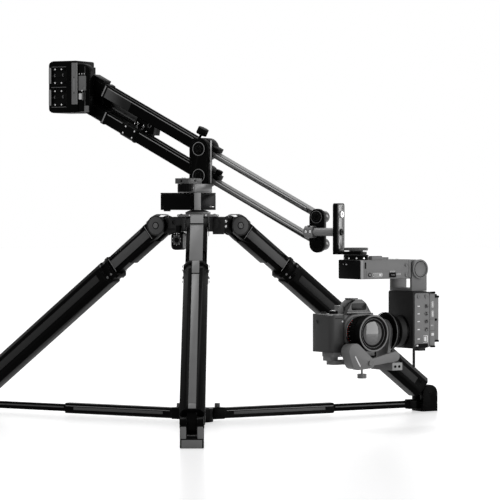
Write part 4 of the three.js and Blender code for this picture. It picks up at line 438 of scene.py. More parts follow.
SLOT_MATERIALS = {
    BLACK: black_metal,
    SILVER: silver_metal,
    GREY: grey_metal,
    PANEL: grey_panel,
    PLASTIC: black_plastic,
    RUBBER: black_rubber,
    COVERING: camera_grain,
}
NODE_SLOTS = {row["node"]: row["material_slot"] for row in frame["record"]["subparts"]}
NODE_BODIES = {name: body for body, names in frame["record"]["behaviour"]["bodies"].items()
    for name in names}


# Finished copies of the solids. Some carry another finish than their slot's plain one.
OWN_FINISHES = {
    "tilt_box": charcoal,
    "focus_screw": grey_metal,
    "camera_body": black_enamel,
    "head_box": grey_metal,
    "lock_bracket": mid_grey,
    "top_plate": grey_metal,
    "tilt_motor": black_metal,
    "tripod_hub": charcoal,
    "mount_knob": mid_grey,
    "spreader_knob_front": mid_grey,
    "spreader_knob_right": mid_grey,
    "spreader_knob_left": mid_grey,
}


def choose(piece):
    """Makes a piece the active one, and the only one that is selected."""
    bpy.ops.object.select_all(action="DESELECT")
    bpy.context.view_layer.objects.active = piece
    piece.select_set(True)


def repaint(piece, carrier, material, wanted):
    """Gives the faces whose centre passes a test, in millimetres in a carrier's frame, another finish."""
    piece.data.materials.append(material)
    place = len(piece.data.materials) - 1
    to_carrier = carrier.inverted() @ Matrix.Scale(1 / MM, 4)
    turn = carrier.to_3x3().inverted()
    for face in piece.data.polygons:
        if wanted(to_carrier @ face.center, turn @ face.normal):
            face.material_index = place


EDGE_WIDTH = 0.4
MERGE_DISTANCE = 0.00002
FLAT_DEGREES = 0.5
BEVEL_DEGREES = 30
SMOOTH_DEGREES = 32


def finished_copy(node):
    """A merged copy with rounded edges and smooth turned faces, which stands for its solid."""
    piece = bpy.data.objects.new(node + "_finished", nodes[node].data.copy())
    bpy.context.scene.collection.objects.link(piece)
    choose(piece)
    bpy.ops.mesh.customdata_custom_splitnormals_clear()
    bpy.ops.object.mode_set(mode="EDIT")
    bpy.ops.mesh.select_all(action="SELECT")
    bpy.ops.mesh.remove_doubles(threshold=MERGE_DISTANCE)
    bpy.ops.mesh.dissolve_limited(angle_limit=math.radians(FLAT_DEGREES))
    bpy.ops.object.mode_set(mode="OBJECT")
    bevel = piece.modifiers.new("edges", "BEVEL")
    bevel.width = EDGE_WIDTH * MM
    bevel.segments = 2
    bevel.limit_method = "ANGLE"
    bevel.angle_limit = math.radians(BEVEL_DEGREES)
    bpy.ops.object.modifier_apply(modifier=bevel.name)
    bpy.ops.object.shade_smooth_by_angle(angle=math.radians(SMOOTH_DEGREES))
    piece.data.materials.clear()
    piece.data.materials.append(OWN_FINISHES.get(node, SLOT_MATERIALS[NODE_SLOTS[node]]))
    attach(piece, NODE_BODIES[node])
    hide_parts(node)
    return piece


finished = {node: finished_copy(node) for node in sorted(nodes)}

# Frames of the carriers, in millimetres: the places of the joints give most of them
PIVOTS = {row["name"]: Vector(row["pos_m"]) / MM
    for row in frame["record"]["behaviour"]["joints"] if "pos_m" in row}
ARM_PITCH = 27.5
HEAD_YAW = 36
SHOULDER_RADIUS = 95
SHOULDER_HEIGHT = 436
ANKLE_RADIUS = 606
ANKLE_HEIGHT = 42
LEG_FALL = SHOULDER_HEIGHT - ANKLE_HEIGHT
LEG_RUN = ANKLE_RADIUS - SHOULDER_RADIUS
LEG_SLOPE = round(math.degrees(math.atan2(LEG_FALL, LEG_RUN)), 3)
POD_ALONG = -29.4
POD_OUT = -32.3
ORIGIN = (0, 0, 0)


def frame_at(origin, yaw=0, pitch=0):
    """A carrier's frame: its origin, its turn about Z, and its dip along its own X."""
    turn = Matrix.Rotation(math.radians(yaw), 4, "Z") @ Matrix.Rotation(math.radians(pitch), 4, "Y")
    return Matrix.Translation(Vector(origin)) @ turn


def on_the_floor(pivot):
    return (pivot.x, pivot.y, 0)


STAND = Matrix.Identity(4)
JIB = frame_at(ORIGIN, JIB_YAW)
UPPER_ARM = frame_at(PIVOTS["arm_tilt"], JIB_YAW, ARM_PITCH)
LOWER_ARM = frame_at(PIVOTS["lower_arm_tilt"], JIB_YAW, ARM_PITCH)
REAR = frame_at(PIVOTS["rear_level"], JIB_YAW)
FRONT = frame_at(on_the_floor(PIVOTS["front_level"]), JIB_YAW)
HEAD = frame_at(on_the_floor(PIVOTS["head_pan"]), HEAD_YAW)
CROWNS = {leg: frame_at(ORIGIN, yaw) for leg, yaw in LEGS.items()}
SHOULDER = frame_at((SHOULDER_RADIUS, 0, SHOULDER_HEIGHT), pitch=LEG_SLOPE)
LEG_FRAMES = {leg: crown @ SHOULDER for leg, crown in CROWNS.items()}
POD = frame_at(ORIGIN, LEGS["left"] - 180) @ frame_at((POD_ALONG, POD_OUT, 0))

UP = Vector((0, 0, 1))
FACES = {
    "-x": (Vector((-1, 0, 0)), UP), "+x": (Vector((1, 0, 0)), UP),
    "-y": (Vector((0, -1, 0)), UP), "+y": (Vector((0, 1, 0)), UP),
    "+z": (UP, Vector((0, 1, 0))),
}


def seat(carrier, face, place, spin=0):
    """Where a piece modelled on its own floor sits: its Z leaves the named face, its Y points up."""
    out, up = FACES[face]
    turn = Matrix((up.cross(out), up, out)).transposed().to_4x4()
    spun = Matrix.Rotation(math.radians(spin), 4, "Z")
    return Matrix.Scale(MM, 4) @ carrier @ Matrix.Translation(Vector(place)) @ turn @ spun


# Modelling by hand, in millimetres, on the floor of the piece's own frame
patterns = []
SMALL = 0.001


def new_pattern(name, material):
    piece = bpy.context.object
    piece.name = name
    piece.data.materials.clear()
    piece.data.materials.append(material)
    patterns.append(piece)
    return piece


def edit(piece):
    choose(piece)
    bpy.ops.object.mode_set(mode="EDIT")
    bpy.ops.mesh.select_mode(type="VERT")


def leave_edit(piece, smooth=35):
    bpy.ops.mesh.select_all(action="SELECT")
    bpy.ops.mesh.normals_make_consistent(inside=False)
    bpy.ops.object.mode_set(mode="OBJECT")
    bpy.ops.object.shade_smooth_by_angle(angle=math.radians(smooth))
    return piece


def pick_edges(piece, wanted):
    """Selects the edges whose two ends pass a test of place."""
    bpy.ops.mesh.select_all(action="DESELECT")
    bpy.ops.mesh.select_mode(type="EDGE")
    shape = bmesh.from_edit_mesh(piece.data)
    for edge in shape.edges:
        first, second = (vertex.co for vertex in edge.verts)
        edge.select_set(wanted(first, second))
    bmesh.update_edit_mesh(piece.data)


def pick_faces(piece, wanted):
    bpy.ops.mesh.select_all(action="DESELECT")
    bpy.ops.mesh.select_mode(type="FACE")
    shape = bmesh.from_edit_mesh(piece.data)
    for face in shape.faces:
        face.select_set(wanted(face.calc_center_median(), face.normal))
    bmesh.update_edit_mesh(piece.data)


def turned(name, material, profile, sides=32, smooth=35):
    """A filled circle at the first radius, drawn through the other radii and heights."""
    (radius, height), *rest = profile
    bpy.ops.object.select_all(action="DESELECT")
    bpy.ops.mesh.primitive_circle_add(vertices=sides, radius=radius, fill_type="NGON",
        location=(0, 0, height))
    piece = new_pattern(name, material)
    bpy.ops.object.transform_apply(location=True)
    edit(piece)
    bpy.ops.mesh.select_all(action="SELECT")
    for next_radius, next_height in rest:
        rise = (0, 0, next_height - height)
        grow = next_radius / radius
        bpy.ops.mesh.extrude_region_move(TRANSFORM_OT_translate={"value": rise})
        bpy.ops.transform.resize(value=(grow, grow, 1), center_override=(0, 0, next_height))
        radius, height = next_radius, next_height
    return leave_edit(piece, smooth)


def hoop(name, material, inner, outer, height, sides=36, ease=0.25):
    """A ring with eased top edges: an open circle drawn round its section and closed on itself."""
    section = [(outer, 0), (outer, height - ease), (outer - ease, height), (inner + ease, height),
        (inner, height - ease), (inner, 0), (outer, 0)]
    (radius, low), *rest = section
    bpy.ops.object.select_all(action="DESELECT")
    bpy.ops.mesh.primitive_circle_add(vertices=sides, radius=radius, fill_type="NOTHING", location=(0, 0, 0))
    piece = new_pattern(name, material)
    edit(piece)
    bpy.ops.mesh.select_all(action="SELECT")
    for next_radius, next_low in rest:
        grow = next_radius / radius
        bpy.ops.mesh.extrude_region_move(TRANSFORM_OT_translate={"value": (0, 0, next_low - low)})
        bpy.ops.transform.resize(value=(grow, grow, 1), center_override=(0, 0, next_low))
        radius, low = next_radius, next_low
    bpy.ops.mesh.select_all(action="SELECT")
    bpy.ops.mesh.remove_doubles(threshold=SMALL)
    return leave_edit(piece)


def plate(name, material, width, tall, thick, corner=0.0, ease=0.2, well=None):
    """A block with rounded corners and eased top edges. A well is an inset margin and a depth."""
    bpy.ops.object.select_all(action="DESELECT")
    bpy.ops.mesh.primitive_cube_add(size=1, location=(0, 0, thick / 2))
    piece = new_pattern(name, material)
    piece.scale = (width, tall, thick)
    bpy.ops.object.transform_apply(location=True, scale=True)
    edit(piece)
    if corner:
        pick_edges(piece, lambda first, second: (first - second).xy.length < SMALL)
        bpy.ops.mesh.bevel(offset=corner, segments=5, affect="EDGES")
    top = thick - SMALL
    if well:
        margin, depth = well
        pick_faces(piece, lambda centre, normal: normal.z > 0.9)
        bpy.ops.mesh.inset(thickness=margin)
        bpy.ops.mesh.extrude_region_move(TRANSFORM_OT_translate={"value": (0, 0, -depth)})
    if ease:
        half_width, half_tall = width / 2, tall / 2

        def outer_rim(point):
            reach = max(abs(point.x) - (half_width - corner), abs(point.y) - (half_tall - corner))
            return point.z > top and reach > -SMALL

        pick_edges(piece, lambda first, second: outer_rim(first) and outer_rim(second))
        bpy.ops.mesh.bevel(offset=ease, segments=2, affect="EDGES")
    return leave_edit(piece)


KEY_SIDES = 6


def cap_screw(name, material, radius, rise):
    """A turned head with a key's socket, which an applied boolean sinks in its top."""
    head = turned(name, material, [(radius, 0), (radius, rise * 0.75), (radius * 0.86, rise)], sides=28)
    depth = rise * 0.7
    bpy.ops.object.select_all(action="DESELECT")
    bpy.ops.mesh.primitive_cylinder_add(
        vertices=KEY_SIDES, radius=radius * 0.5, depth=2 * depth, location=(0, 0, rise))
    key = bpy.context.object
    choose(head)
    cut = head.modifiers.new("key", "BOOLEAN")
    cut.operation = "DIFFERENCE"
    cut.object = key
    bpy.ops.object.modifier_apply(modifier=cut.name)
    bpy.data.objects.remove(key)
    bpy.ops.object.shade_smooth_by_angle(angle=math.radians(BEVEL_DEGREES))
    return head


def pin_head(name, material, radius, rise):
    """A turned head with a groove near its edge and a dished middle."""
    profile_shares = [(1, 0), (1, 0.8), (0.95, 1), (0.8, 1), (0.78, 0.75), (0.74, 0.75), (0.72, 1),
        (0.42, 1), (0.38, 0.7), (0.05, 0.6)]
    return turned(name, material, [(radius * wide, rise * high) for wide, high in profile_shares], sides=40)


RIDGE_DEPTH = 0.5


def ridged(name, material, radius, tall, ridges):
    """A turned grip whose side faces are drawn in one by one, as fluting is milled."""
    grip = turned(name, material, [(radius * 0.94, 0), (radius, tall * 0.12), (radius, tall * 0.86),
        (radius * 0.9, tall)], sides=2 * ridges)
    edit(grip)
    step = math.pi / ridges

    def alternate(centre, normal):
        turn = round(math.atan2(centre.y, centre.x) / step - 0.5)
        return abs(normal.z) < 0.2 and turn % 2 == 0

    pick_faces(grip, alternate)
    bpy.ops.mesh.inset(thickness=RIDGE_DEPTH * 0.4, use_individual=True)
    draw_in = 1 - RIDGE_DEPTH / radius
    bpy.ops.transform.resize(value=(draw_in, draw_in, 1), center_override=(0, 0, 0))
    return leave_edit(grip, smooth=20)


BAND_STEPS = 12


def arc_band(name, material, radius, wide, thick, turn, straight=0.0):
    """A flat band bent about Y from the top towards -X, with an optional straight run along +X before it."""
    bpy.ops.object.select_all(action="DESELECT")
    bpy.ops.mesh.primitive_plane_add(size=1, location=(0, 0, 0))
    piece = new_pattern(name, material)
    piece.scale = (thick, wide, 1)
    bpy.ops.object.transform_apply(scale=True)
    edit(piece)
    bpy.ops.mesh.select_all(action="SELECT")
    bpy.ops.transform.rotate(value=math.radians(90), orient_axis="Y", center_override=(0, 0, 0))
    bpy.ops.transform.translate(value=(straight, 0, radius + thick / 2))
    if straight:
        bpy.ops.mesh.extrude_region_move(TRANSFORM_OT_translate={"value": (-straight, 0, 0)})
    bpy.ops.mesh.spin(steps=BAND_STEPS, angle=math.radians(turn), center=(0, 0, 0), axis=(0, 1, 0))
    return leave_edit(piece)


def fitted(name, body, slot, *places):
    """Copies of patterns, each with its own mesh, set in their places and joined as one named piece."""
    bpy.ops.object.select_all(action="DESELECT")
    copies = []
    for pattern, matrix in places:
        mesh = pattern.data.copy()
        mesh.transform(matrix)
        copy = bpy.data.objects.new(name, mesh)
        bpy.context.scene.collection.objects.link(copy)
        copy.select_set(True)
        copies.append(copy)
    bpy.context.view_layer.objects.active = copies[0]
    if len(copies) > 1:
        bpy.ops.object.join()
    piece = bpy.context.view_layer.objects.active
    piece.name = name
    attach(piece, body)
    return piece


# Small parts: screws, bolts, studs, lamps and plain printed marks
screw_small = cap_screw("screw_small", bright_metal, 1.8, 1.0)
screw_medium = cap_screw("screw_medium", bright_metal, 2.9, 1.6)
screw_black = cap_screw("screw_black", black_metal, 2.9, 1.4)
grey_bolt = pin_head("grey_bolt", grey_panel, 4.6, 1.6)
stud = turned("stud", bright_metal, [(1.4, 0), (1.4, 0.5), (1.0, 0.8)], sides=16)
lamp_dot = turned("lamp_dot", white_print, [(1.3, 0), (1.3, 0.4), (0.9, 0.6)], sides=16)
print_bar = plate("print_bar", white_print, 6.4, 2.2, 0.12, corner=0.4, ease=0)
print_tick = plate("print_tick", white_print, 1.0, 3.2, 0.12, ease=0)
print_spot = turned("print_spot", white_print, [(1.4, 0), (1.4, 0.12)], sides=16)


# Round connector: a metal rim, a dark core and its contacts
CONNECTOR_RADIUS = 4.4
CORE_RADIUS = CONNECTOR_RADIUS * 0.76
CONTACT_COUNT = 4
CONTACT_RING = 1.7
rim = hoop("connector_rim", strip_metal, CONNECTOR_RADIUS * 0.74, CONNECTOR_RADIUS, 1.8, sides=28, ease=0.3)
core = turned("connector_core", black_plastic, [(CORE_RADIUS, 0), (CORE_RADIUS, 0.9)], sides=24)
contact = turned("connector_contact", bright_metal, [(0.45, 0.8), (0.45, 1.5), (0.25, 1.7)], sides=8)


def connector(place_of):
    """The seats of a connector's parts round one place; place_of gives a seat for an offset."""
    ring = [place_of(CONTACT_RING * math.cos(turn), CONTACT_RING * math.sin(turn))
        for turn in (2 * math.pi * index / CONTACT_COUNT for index in range(CONTACT_COUNT))]
    return [(rim, place_of(0, 0)), (core, place_of(0, 0))] + [(contact, place) for place in ring]


def on(carrier, face, level):
    """Seats on one flat face of a carrier, given by the two coordinates that lie in the face."""
    axis = "xyz".index(face[1])

    def at(first, second, spin=0, lift=0.0):
        place = [first, second]
        place.insert(axis, level + (lift if face[0] == "+" else -lift))
        return seat(carrier, face, place, spin)

    return at


def both_sides(carrier, level):
    """Seats on the near and the far face of a carrier, which lie equally far out."""
    return [on(carrier, "-y", -level), on(carrier, "+y", level)]


def around(carrier, count):
    """Frames turned about a carrier's Z in equal steps, the first by half a step."""
    return [carrier @ frame_at(ORIGIN, 360 * (index + 0.5) / count) for index in range(count)]


def grid(pattern, side, alongs, highs, lift=0.0):
    """One pattern at every crossing of two lists of places on a face."""
    return [(pattern, side(along, high, lift=lift)) for along in alongs for high in highs]


def row(pattern, side, alongs, high, lift=0.0):
    return grid(pattern, side, alongs, (high,), lift)


# Levels of the faces that pieces lie on, in millimetres in their carrier's frame

# Rear housing, beams and bars
NOSE_FACE = -34
PLATE_RAIL_FACE = -34.9
REAR_WEB_FACE = 18
MOTOR_RAIL_FLOOR = 11
BEAM_FACE = -15
BAR_FACE = -13
BEAM_COLLAR_FACE = -17
GEARBOX_FACE = 27

# Post, pedestal and pan box
POST_FACE = 19.3
POST_EDGE = 14.7
PIN_FACE = 18.2
LOCK_BRACKET_TOP = 540.9
PEDESTAL_FACE = -38.5
BOX_FRONT = 25
BOX_SIDE = -45

# Stand, handset, feet and spreader
DISC_EDGE = 46.5
UPPER_TUBE_SIDE = 22.5
CHEEK_SIDE = 24.9
LOCK_BLOCK_FACE = -29.4
POD_FACE = -10.2
POD_SIDE = 14
COLLAR_TOP = 26.5
COLLAR_SIDE = 27.9
GROOVE_RIM = 25.75
GROOVE_FLOOR = 24.55
FOOT_CHEEK_END = 626
SPREADER_SIDE = 11.75
SPREADER_GROOVE = 10.75
ROD_SIDE = 8
HUB_TOP = 30

# Front bracket and head
BRACKET_FACE = -26.3
OFFSET_BRACKET_FACE = 64
ROD_CLAMP_FACE = -45.4
BEARING_FOOT = 364.3
BEARING_EDGE = 26.9
HEAD_FACE = -38
HEAD_COVER_FACE = -38.4
HEAD_PANEL_FACE = -38.9
HEAD_END = -18
HEAD_TOP = 364
TILT_BOX_FACE = -46.6
BANK_FACE = -46.3
BANK_PANEL_FACE = -46.8
COVER_FACE = -42.6
HINGE_CAP_FACE = -42.0
BOSS_END = 112
FLANGE_BACK = 76.6

# Camera, lens and cradle
LENS_FRONT = -62
LENS_WELL = -57.2
APRON_FOOT = -0.9
MOUNT_FACE = -10
BODY_TOP = 248
BODY_END = 52
BODY_FRONT = -2.0
GRIP_FRONT = -25
PRISM_FRONT = -10.0
MOTOR_CASE_FACE = -66
PIVOT_FACE = -68.4
CRADLE_BAR_FACE = -60
STOP_FACE = -24.3

# Battery module at the rear: pale guides, a slotted rail, and small screws on the two plates
MODULE_FACE = -36
BAY_ALONG = -72.8
BAY_HEIGHTS = (16.5, -33.5)
NIBS = ((-12, 0, 35), (-12, 3, -35), (10, 1, 35), (10, 4, -35))
module_side = on(REAR, "-y", MODULE_FACE)
plate_side = on(REAR, "-y", PLATE_RAIL_FACE)
bay_guide = plate("bay_guide", pale_metal, 6.4, 36, 0.5, corner=1.0)
bay_rule = plate("bay_rule", grey_metal, 40, 0.9, 0.3, ease=0.1)
plate_nib = plate("plate_nib", grey_metal, 1.4, 4.5, 0.5, corner=0.3, ease=0.1)
fitted("battery_guides", "rear", PANEL, *[(bay_guide, module_side(-97.0, high + 1)) for high in BAY_HEIGHTS])
fitted("battery_plate_screws", "rear", SILVER, *[
    (screw_small, plate_side(BAY_ALONG + along, high + rise))
    for high in BAY_HEIGHTS for along in (-10.6, 6.8) for rise in (-15.6, 15.6)])
fitted("battery_plate_nibs", "rear", GREY, *[
    (plate_nib, plate_side(BAY_ALONG + along, high + rise, spin))
    for high in BAY_HEIGHTS for along, rise, spin in NIBS])
motor_rail = plate("motor_rail", black_metal, 92, 13, 6, corner=1.5, ease=0.5)
fitted("motor_rail", "lower_arm", BLACK, (motor_rail, on(LOWER_ARM, "+z", MOTOR_RAIL_FLOOR)(-283, 22)))
fitted("battery_bay_rules", "rear", GREY,
    (bay_rule, module_side(BAY_ALONG, 37.5)), (bay_rule, module_side(BAY_ALONG, -9.2)),
    (bay_rule, module_side(BAY_ALONG, -54.6)))
RAIL_THICK = 0.8
module_rail = plate("module_rail", grey_panel, 12.2, 95, RAIL_THICK, corner=1.2, ease=0.3)
module_rail_slot = plate("module_rail_slot", pale_metal, 1.7, 29, 0.3, corner=0.8, ease=0.1)
module_rail_dimple = turned("module_rail_dimple", black_metal, [(1.3, 0), (1.3, 0.2)], sides=16)
# Painted highlight: a pale line down the module's edge
module_edge_highlight = plate("module_edge_highlight", pale_metal, 2.4, 95, 0.5, corner=0.5)
fitted("module_rail", "rear", PANEL,
    (module_rail, module_side(-31.8, -1.5)), (module_rail_slot, module_side(-31.4, -4.6, lift=RAIL_THICK)),
    (module_rail_dimple, module_side(-31.4, 13, lift=RAIL_THICK)),
    (module_rail_dimple, module_side(-31.4, -23, lift=RAIL_THICK)))
fitted("module_edge_highlight", "rear", PANEL, (module_edge_highlight, module_side(-23.8, -1.5)))

# Nose of the battery housing: a web towards the beams, a seam, three lamps, a grey field and a white tab
rear_web = plate("rear_web", black_metal, 30, 40, 6, corner=2, ease=0.6)
fitted("rear_web", "rear", BLACK, (rear_web, on(REAR, "+y", REAR_WEB_FACE)(21, -44)))
nose_side = on(REAR, "-y", NOSE_FACE)
nose_seam = plate("nose_seam", grey_metal, 0.7, 106, 0.25, ease=0)
nose_field = plate("nose_field", grey_metal, 20, 34, 0.4, corner=2)
nose_tab = plate("nose_tab", white_print, 7.6, 14, 0.9, corner=1.2, ease=0.3)
nose_strip = plate("nose_strip", grey_panel, 3, 18, 0.5, corner=0.6)
nose_foot = plate("nose_foot", grey_metal, 12, 15, 0.5, corner=1)
fitted("nose_seam", "rear", GREY, (nose_seam, nose_side(-3.4, -16)))
fitted("nose_lamps", "rear", SILVER, *row(lamp_dot, nose_side, (-18.5, -11.7, -5.2), 20.4))
fitted("nose_field", "rear", GREY, (nose_field, nose_side(-10.5, -1)), (nose_foot, nose_side(1, -60)))
fitted("nose_tab", "rear", SILVER, (nose_tab, nose_side(-15.8, -31)), (nose_strip, nose_side(-9.4, -31)),
    (screw_small, nose_side(-11.0, -18)))

# Beams and bars: pale lines along them, those on the beams painted highlights, a painted reflection that
# fades out on the upper beam's end, collar strips, screws at sleeve and gearbox, and painted sheen on the
# motor can
LINE_RISE = 9.6
COLLAR_STRIP_ALONG = -291.5
BAR_MIDDLE = 162
BAR_TIP = 300
# Painted highlights: pale lines along the beams' top edges
beam_highlight_line = plate("beam_highlight_line", pale_metal, 255, 1.7, 0.3, ease=0.1)
rear_highlight_line = plate("rear_highlight_line", pale_metal, 45, 1.6, 0.3, ease=0.1)
front_highlight_line = plate("front_highlight_line", pale_metal, 160, 1.6, 0.3, ease=0.1)
# Painted reflection: a grey patch on the upper beam's end that fades to black
beam_end_reflection = plate("beam_end_reflection", painted_reflection_fade, 74, 24, 0.25, corner=1, ease=0.1)
collar_strip = plate("collar_strip", pale_metal, 3, 26, 0.4, corner=0.6)
upper_side = on(UPPER_ARM, "-y", BEAM_FACE)
lower_side = on(LOWER_ARM, "-y", BEAM_FACE)
upper_collar = on(UPPER_ARM, "-y", BEAM_COLLAR_FACE)
lower_collar = on(LOWER_ARM, "-y", BEAM_COLLAR_FACE)
fitted("upper_beam_highlight_line", "upper_arm", SILVER, (beam_highlight_line, upper_side(-160, LINE_RISE)))
fitted("upper_beam_end_reflection", "upper_arm", GREY, (beam_end_reflection, upper_side(-251, -1)))
fitted("upper_collar_strip", "upper_arm", SILVER, (collar_strip, upper_collar(COLLAR_STRIP_ALONG, 0)))
fitted("lower_beam_highlight_line", "lower_arm", SILVER,
    (rear_highlight_line, lower_side(-265, LINE_RISE)), (front_highlight_line, lower_side(-112, LINE_RISE)))
fitted("lower_collar_strip", "lower_arm", SILVER, (collar_strip, lower_collar(COLLAR_STRIP_ALONG, 0)))
bar_line = plate("bar_line", white_print, 256, 2.2, 0.3, ease=0.1)
bar_edge = plate("bar_edge", charcoal, 256, 1.2, 0.3, ease=0.1)
for name, beam in (("upper", UPPER_ARM), ("lower", LOWER_ARM)):
    body = name + "_arm"
    side = on(beam, "-y", BAR_FACE)
    fitted(name + "_bar_line", body, SILVER, (bar_line, side(BAR_MIDDLE, 3.2)))
    fitted(name + "_bar_edge", body, BLACK,
        (bar_edge, side(BAR_MIDDLE, -5.1)), (bar_edge, side(BAR_MIDDLE, 5.3)))
    repaint(finished[name + "_bar"], beam, black_gloss, lambda centre, normal: centre.x > BAR_TIP)
fitted("sleeve_screws", "lower_arm", SILVER, *grid(screw_small, lower_collar, (-230, -204), (-8, 8)))
GEARBOX_END = -236
# Painted sheen: the motor can behind the gearbox is painted mid grey for the light along its top
repaint(finished["tilt_motor"], LOWER_ARM, mid_grey, lambda centre, normal: centre.x < GEARBOX_END)
gearbox_side = on(LOWER_ARM, "-y", GEARBOX_FACE)
fitted("gearbox_screws", "lower_arm", SILVER, *grid(screw_medium, gearbox_side, (-228, -212), (18, 34)))
gear_socket = hoop("gear_socket", grey_metal, 3.4, 5.2, 2.2, sides=28, ease=0.4)
fitted("gearbox_sockets", "lower_arm", GREY, (gear_socket, gearbox_side(-198, 27)),
    (core, gearbox_side(-198, 27)))

# Post: a painted highlight as a pale strip on its front edge, rings and hubs at its two pins, bracket and
# pedestal screws, knob cap
PIN_ALONG = -9.3
PIN_HEIGHTS = (607, 547)
post_side = on(JIB, "-y", POST_FACE)
post_edge = on(JIB, "+x", POST_EDGE)
# Painted highlight along the post's rounded front edge
post_highlight_strip = plate("post_highlight_strip", pale_metal, 7, 96, 0.3, corner=2, ease=0.1)
pin_ring = hoop("pin_ring", pale_metal, 13.9, 15.2, 0.9, sides=48, ease=0.2)
pin_hub = pin_head("pin_hub", black_metal, 9.5, 1.4)
fitted("post_highlight_strip", "pan", SILVER, (post_highlight_strip, post_edge(32.5, 578)))
fitted("pin_rings", "pan", SILVER, *grid(pin_ring, post_side, (PIN_ALONG,), PIN_HEIGHTS))
pin_side = on(JIB, "-y", PIN_FACE)
fitted("pin_hubs", "pan", BLACK, *grid(pin_hub, pin_side, (PIN_ALONG,), PIN_HEIGHTS))
bracket_top = on(JIB, "+z", LOCK_BRACKET_TOP)
fitted("lock_bracket_screws", "pan", BLACK, *grid(screw_black, bracket_top, (-4.5,), (-14, -28)))
knob_cap = pin_head("knob_cap", bright_metal, 6.5, 2.0)
fitted("lock_knob_cap", "pan", SILVER, (knob_cap, bracket_top(-3, -54.6)))
pedestal_side = on(JIB, "-y", PEDESTAL_FACE)
fitted("pedestal_screws", "pan", SILVER, *row(screw_medium, pedestal_side, (-27, 8), 519))

# Pan box: a lamp and marks on its front, a painted highlight as a pale band round its corner, screws along
# the near side
box_front = on(JIB, "+x", BOX_FRONT)
box_side = on(JIB, "-y", BOX_SIDE)
fitted("pan_box_lamp", "pan", SILVER, (stud, box_front(22, 478)), (lamp_dot, box_front(10, 478)))
fitted("pan_box_marks", "pan", SILVER, *row(print_tick, box_front, (16, 18.5), 478))
CORNER_CENTRE = (13, -33, 489.9)
CORNER_TURN = 165
# Painted highlight round the pan box's rounded corner
corner_highlight_band = arc_band("corner_highlight_band", pale_metal, radius=12.0, wide=37.6, thick=0.4, turn=80)
corner_seat = JIB @ frame_at(CORNER_CENTRE) @ Matrix.Rotation(math.radians(-90), 4, "X")
corner_turn = Matrix.Rotation(math.radians(CORNER_TURN), 4, "Y")
fitted("pan_box_corner_highlight", "pan", SILVER, (corner_highlight_band, Matrix.Scale(MM, 4) @ corner_seat @ corner_turn))
fitted("pan_box_screws", "pan", BLACK, *grid(screw_black, box_side, (-62, 8), (477, 503)))

# Crown and upper tubes: screws round the disc, plates and bolts on the shoulders, strips that are painted
# reflections, pale seam lines that are painted highlights, lock block screws
DISC_SCREWS = 8
DISC_SCREW_HEIGHT = 459.2
for index, carrier in enumerate(around(STAND, DISC_SCREWS)):
    disc_edge = on(carrier, "+x", DISC_EDGE)
    fitted(f"disc_screw_{index + 1}", "root", SILVER, (screw_small, disc_edge(0, DISC_SCREW_HEIGHT)))
shoulder_plate = turned("shoulder_plate", mid_grey, [(19.5, 0), (19.5, 0.5), (18.8, 0.8)], sides=56)
shoulder_rim = hoop("shoulder_rim", charcoal, 19.8, 22.5, 0.9, sides=56, ease=0.3)
bolt_ring = hoop("bolt_ring", black_metal, 6.2, 8.2, 1.2, ease=0.3)
bolt_core = pin_head("bolt_core", grey_metal, 6.0, 1.8)
shoulder_band = arc_band("shoulder_band", grey_metal, radius=25.0, wide=28, thick=0.7, turn=62, straight=22)
# Painted highlights: thin pale lines across the shells
seam_highlight_line = plate("seam_highlight_line", pale_metal, 0.9, 34, 0.5, ease=0.1)
# Painted reflections: grey strips along the upper shells' sides and top
upper_reflection_strip = plate("upper_reflection_strip", mid_grey, 118, 19, 0.5, corner=1.5)
top_reflection_strip = plate("top_reflection_strip", grey_metal, 128, 28, 0.6, corner=1.5)
for leg, crown in CROWNS.items():
    carrier = LEG_FRAMES[leg]
    sides = both_sides(carrier, CHEEK_SIDE)
    shells = both_sides(carrier, UPPER_TUBE_SIDE)
    fitted(f"shoulder_plates_{leg}", "root", GREY,
        *[(pattern, side(0, 0)) for side in sides for pattern in (shoulder_plate, shoulder_rim, bolt_core)])
    fitted(f"shoulder_rings_{leg}", "root", BLACK, *[(bolt_ring, side(0, 0)) for side in sides])
    fitted(f"shoulder_band_{leg}", "root", GREY, (shoulder_band, Matrix.Scale(MM, 4) @ carrier))
    fitted(f"upper_reflection_strips_{leg}", "root", GREY,
        *[(upper_reflection_strip, side(88, 0)) for side in shells],
        (top_reflection_strip, on(carrier, "+z", UPPER_TUBE_SIDE)(86, 0)))
    fitted(f"seam_highlight_lines_{leg}", "root", SILVER,
        *[(seam_highlight_line, side(along, 0)) for side in shells for along in (27, 148)])
lock_side = on(CROWNS["right"], "-y", LOCK_BLOCK_FACE)
fitted("lock_block_screws", "root", SILVER, *grid(screw_medium, lock_side, (44, 54), (434, 446)))

# Control pod: rings round its key, small studs, three lamps and a pale side plate
pod_face = on(POD, "-y", POD_FACE)
pod_side = on(POD, "+x", POD_SIDE)
KEY_HEIGHT = 404.4
STUD_COUNT = 10
STUD_RING = 11.2
pod_rings = [hoop("pod_ring", grey_metal, inner, inner + 0.9, 0.5, sides=40, ease=0.1)
    for inner in (6.6, 9.2)]
pod_stud = turned("pod_stud", bright_metal, [(0.7, 0), (0.7, 0.5), (0.4, 0.7)], sides=12)
fitted("pod_rings", "root", GREY, *[(ring, pod_face(0, KEY_HEIGHT)) for ring in pod_rings])
fitted("pod_studs", "root", SILVER, *[
    (pod_stud, pod_face(STUD_RING * math.cos(turn), KEY_HEIGHT + STUD_RING * math.sin(turn)))
    for turn in (math.pi * (0.1 + 2 * index / STUD_COUNT) for index in range(STUD_COUNT))])
fitted("pod_lamps", "root", SILVER, *row(lamp_dot, pod_face, (-6, 0, 6), 419))
pod_plate = plate("pod_plate", pale_metal, 16, 32, 0.5, corner=2)
fitted("pod_side_plate", "root", SILVER, (pod_plate, pod_side(1, 402)))

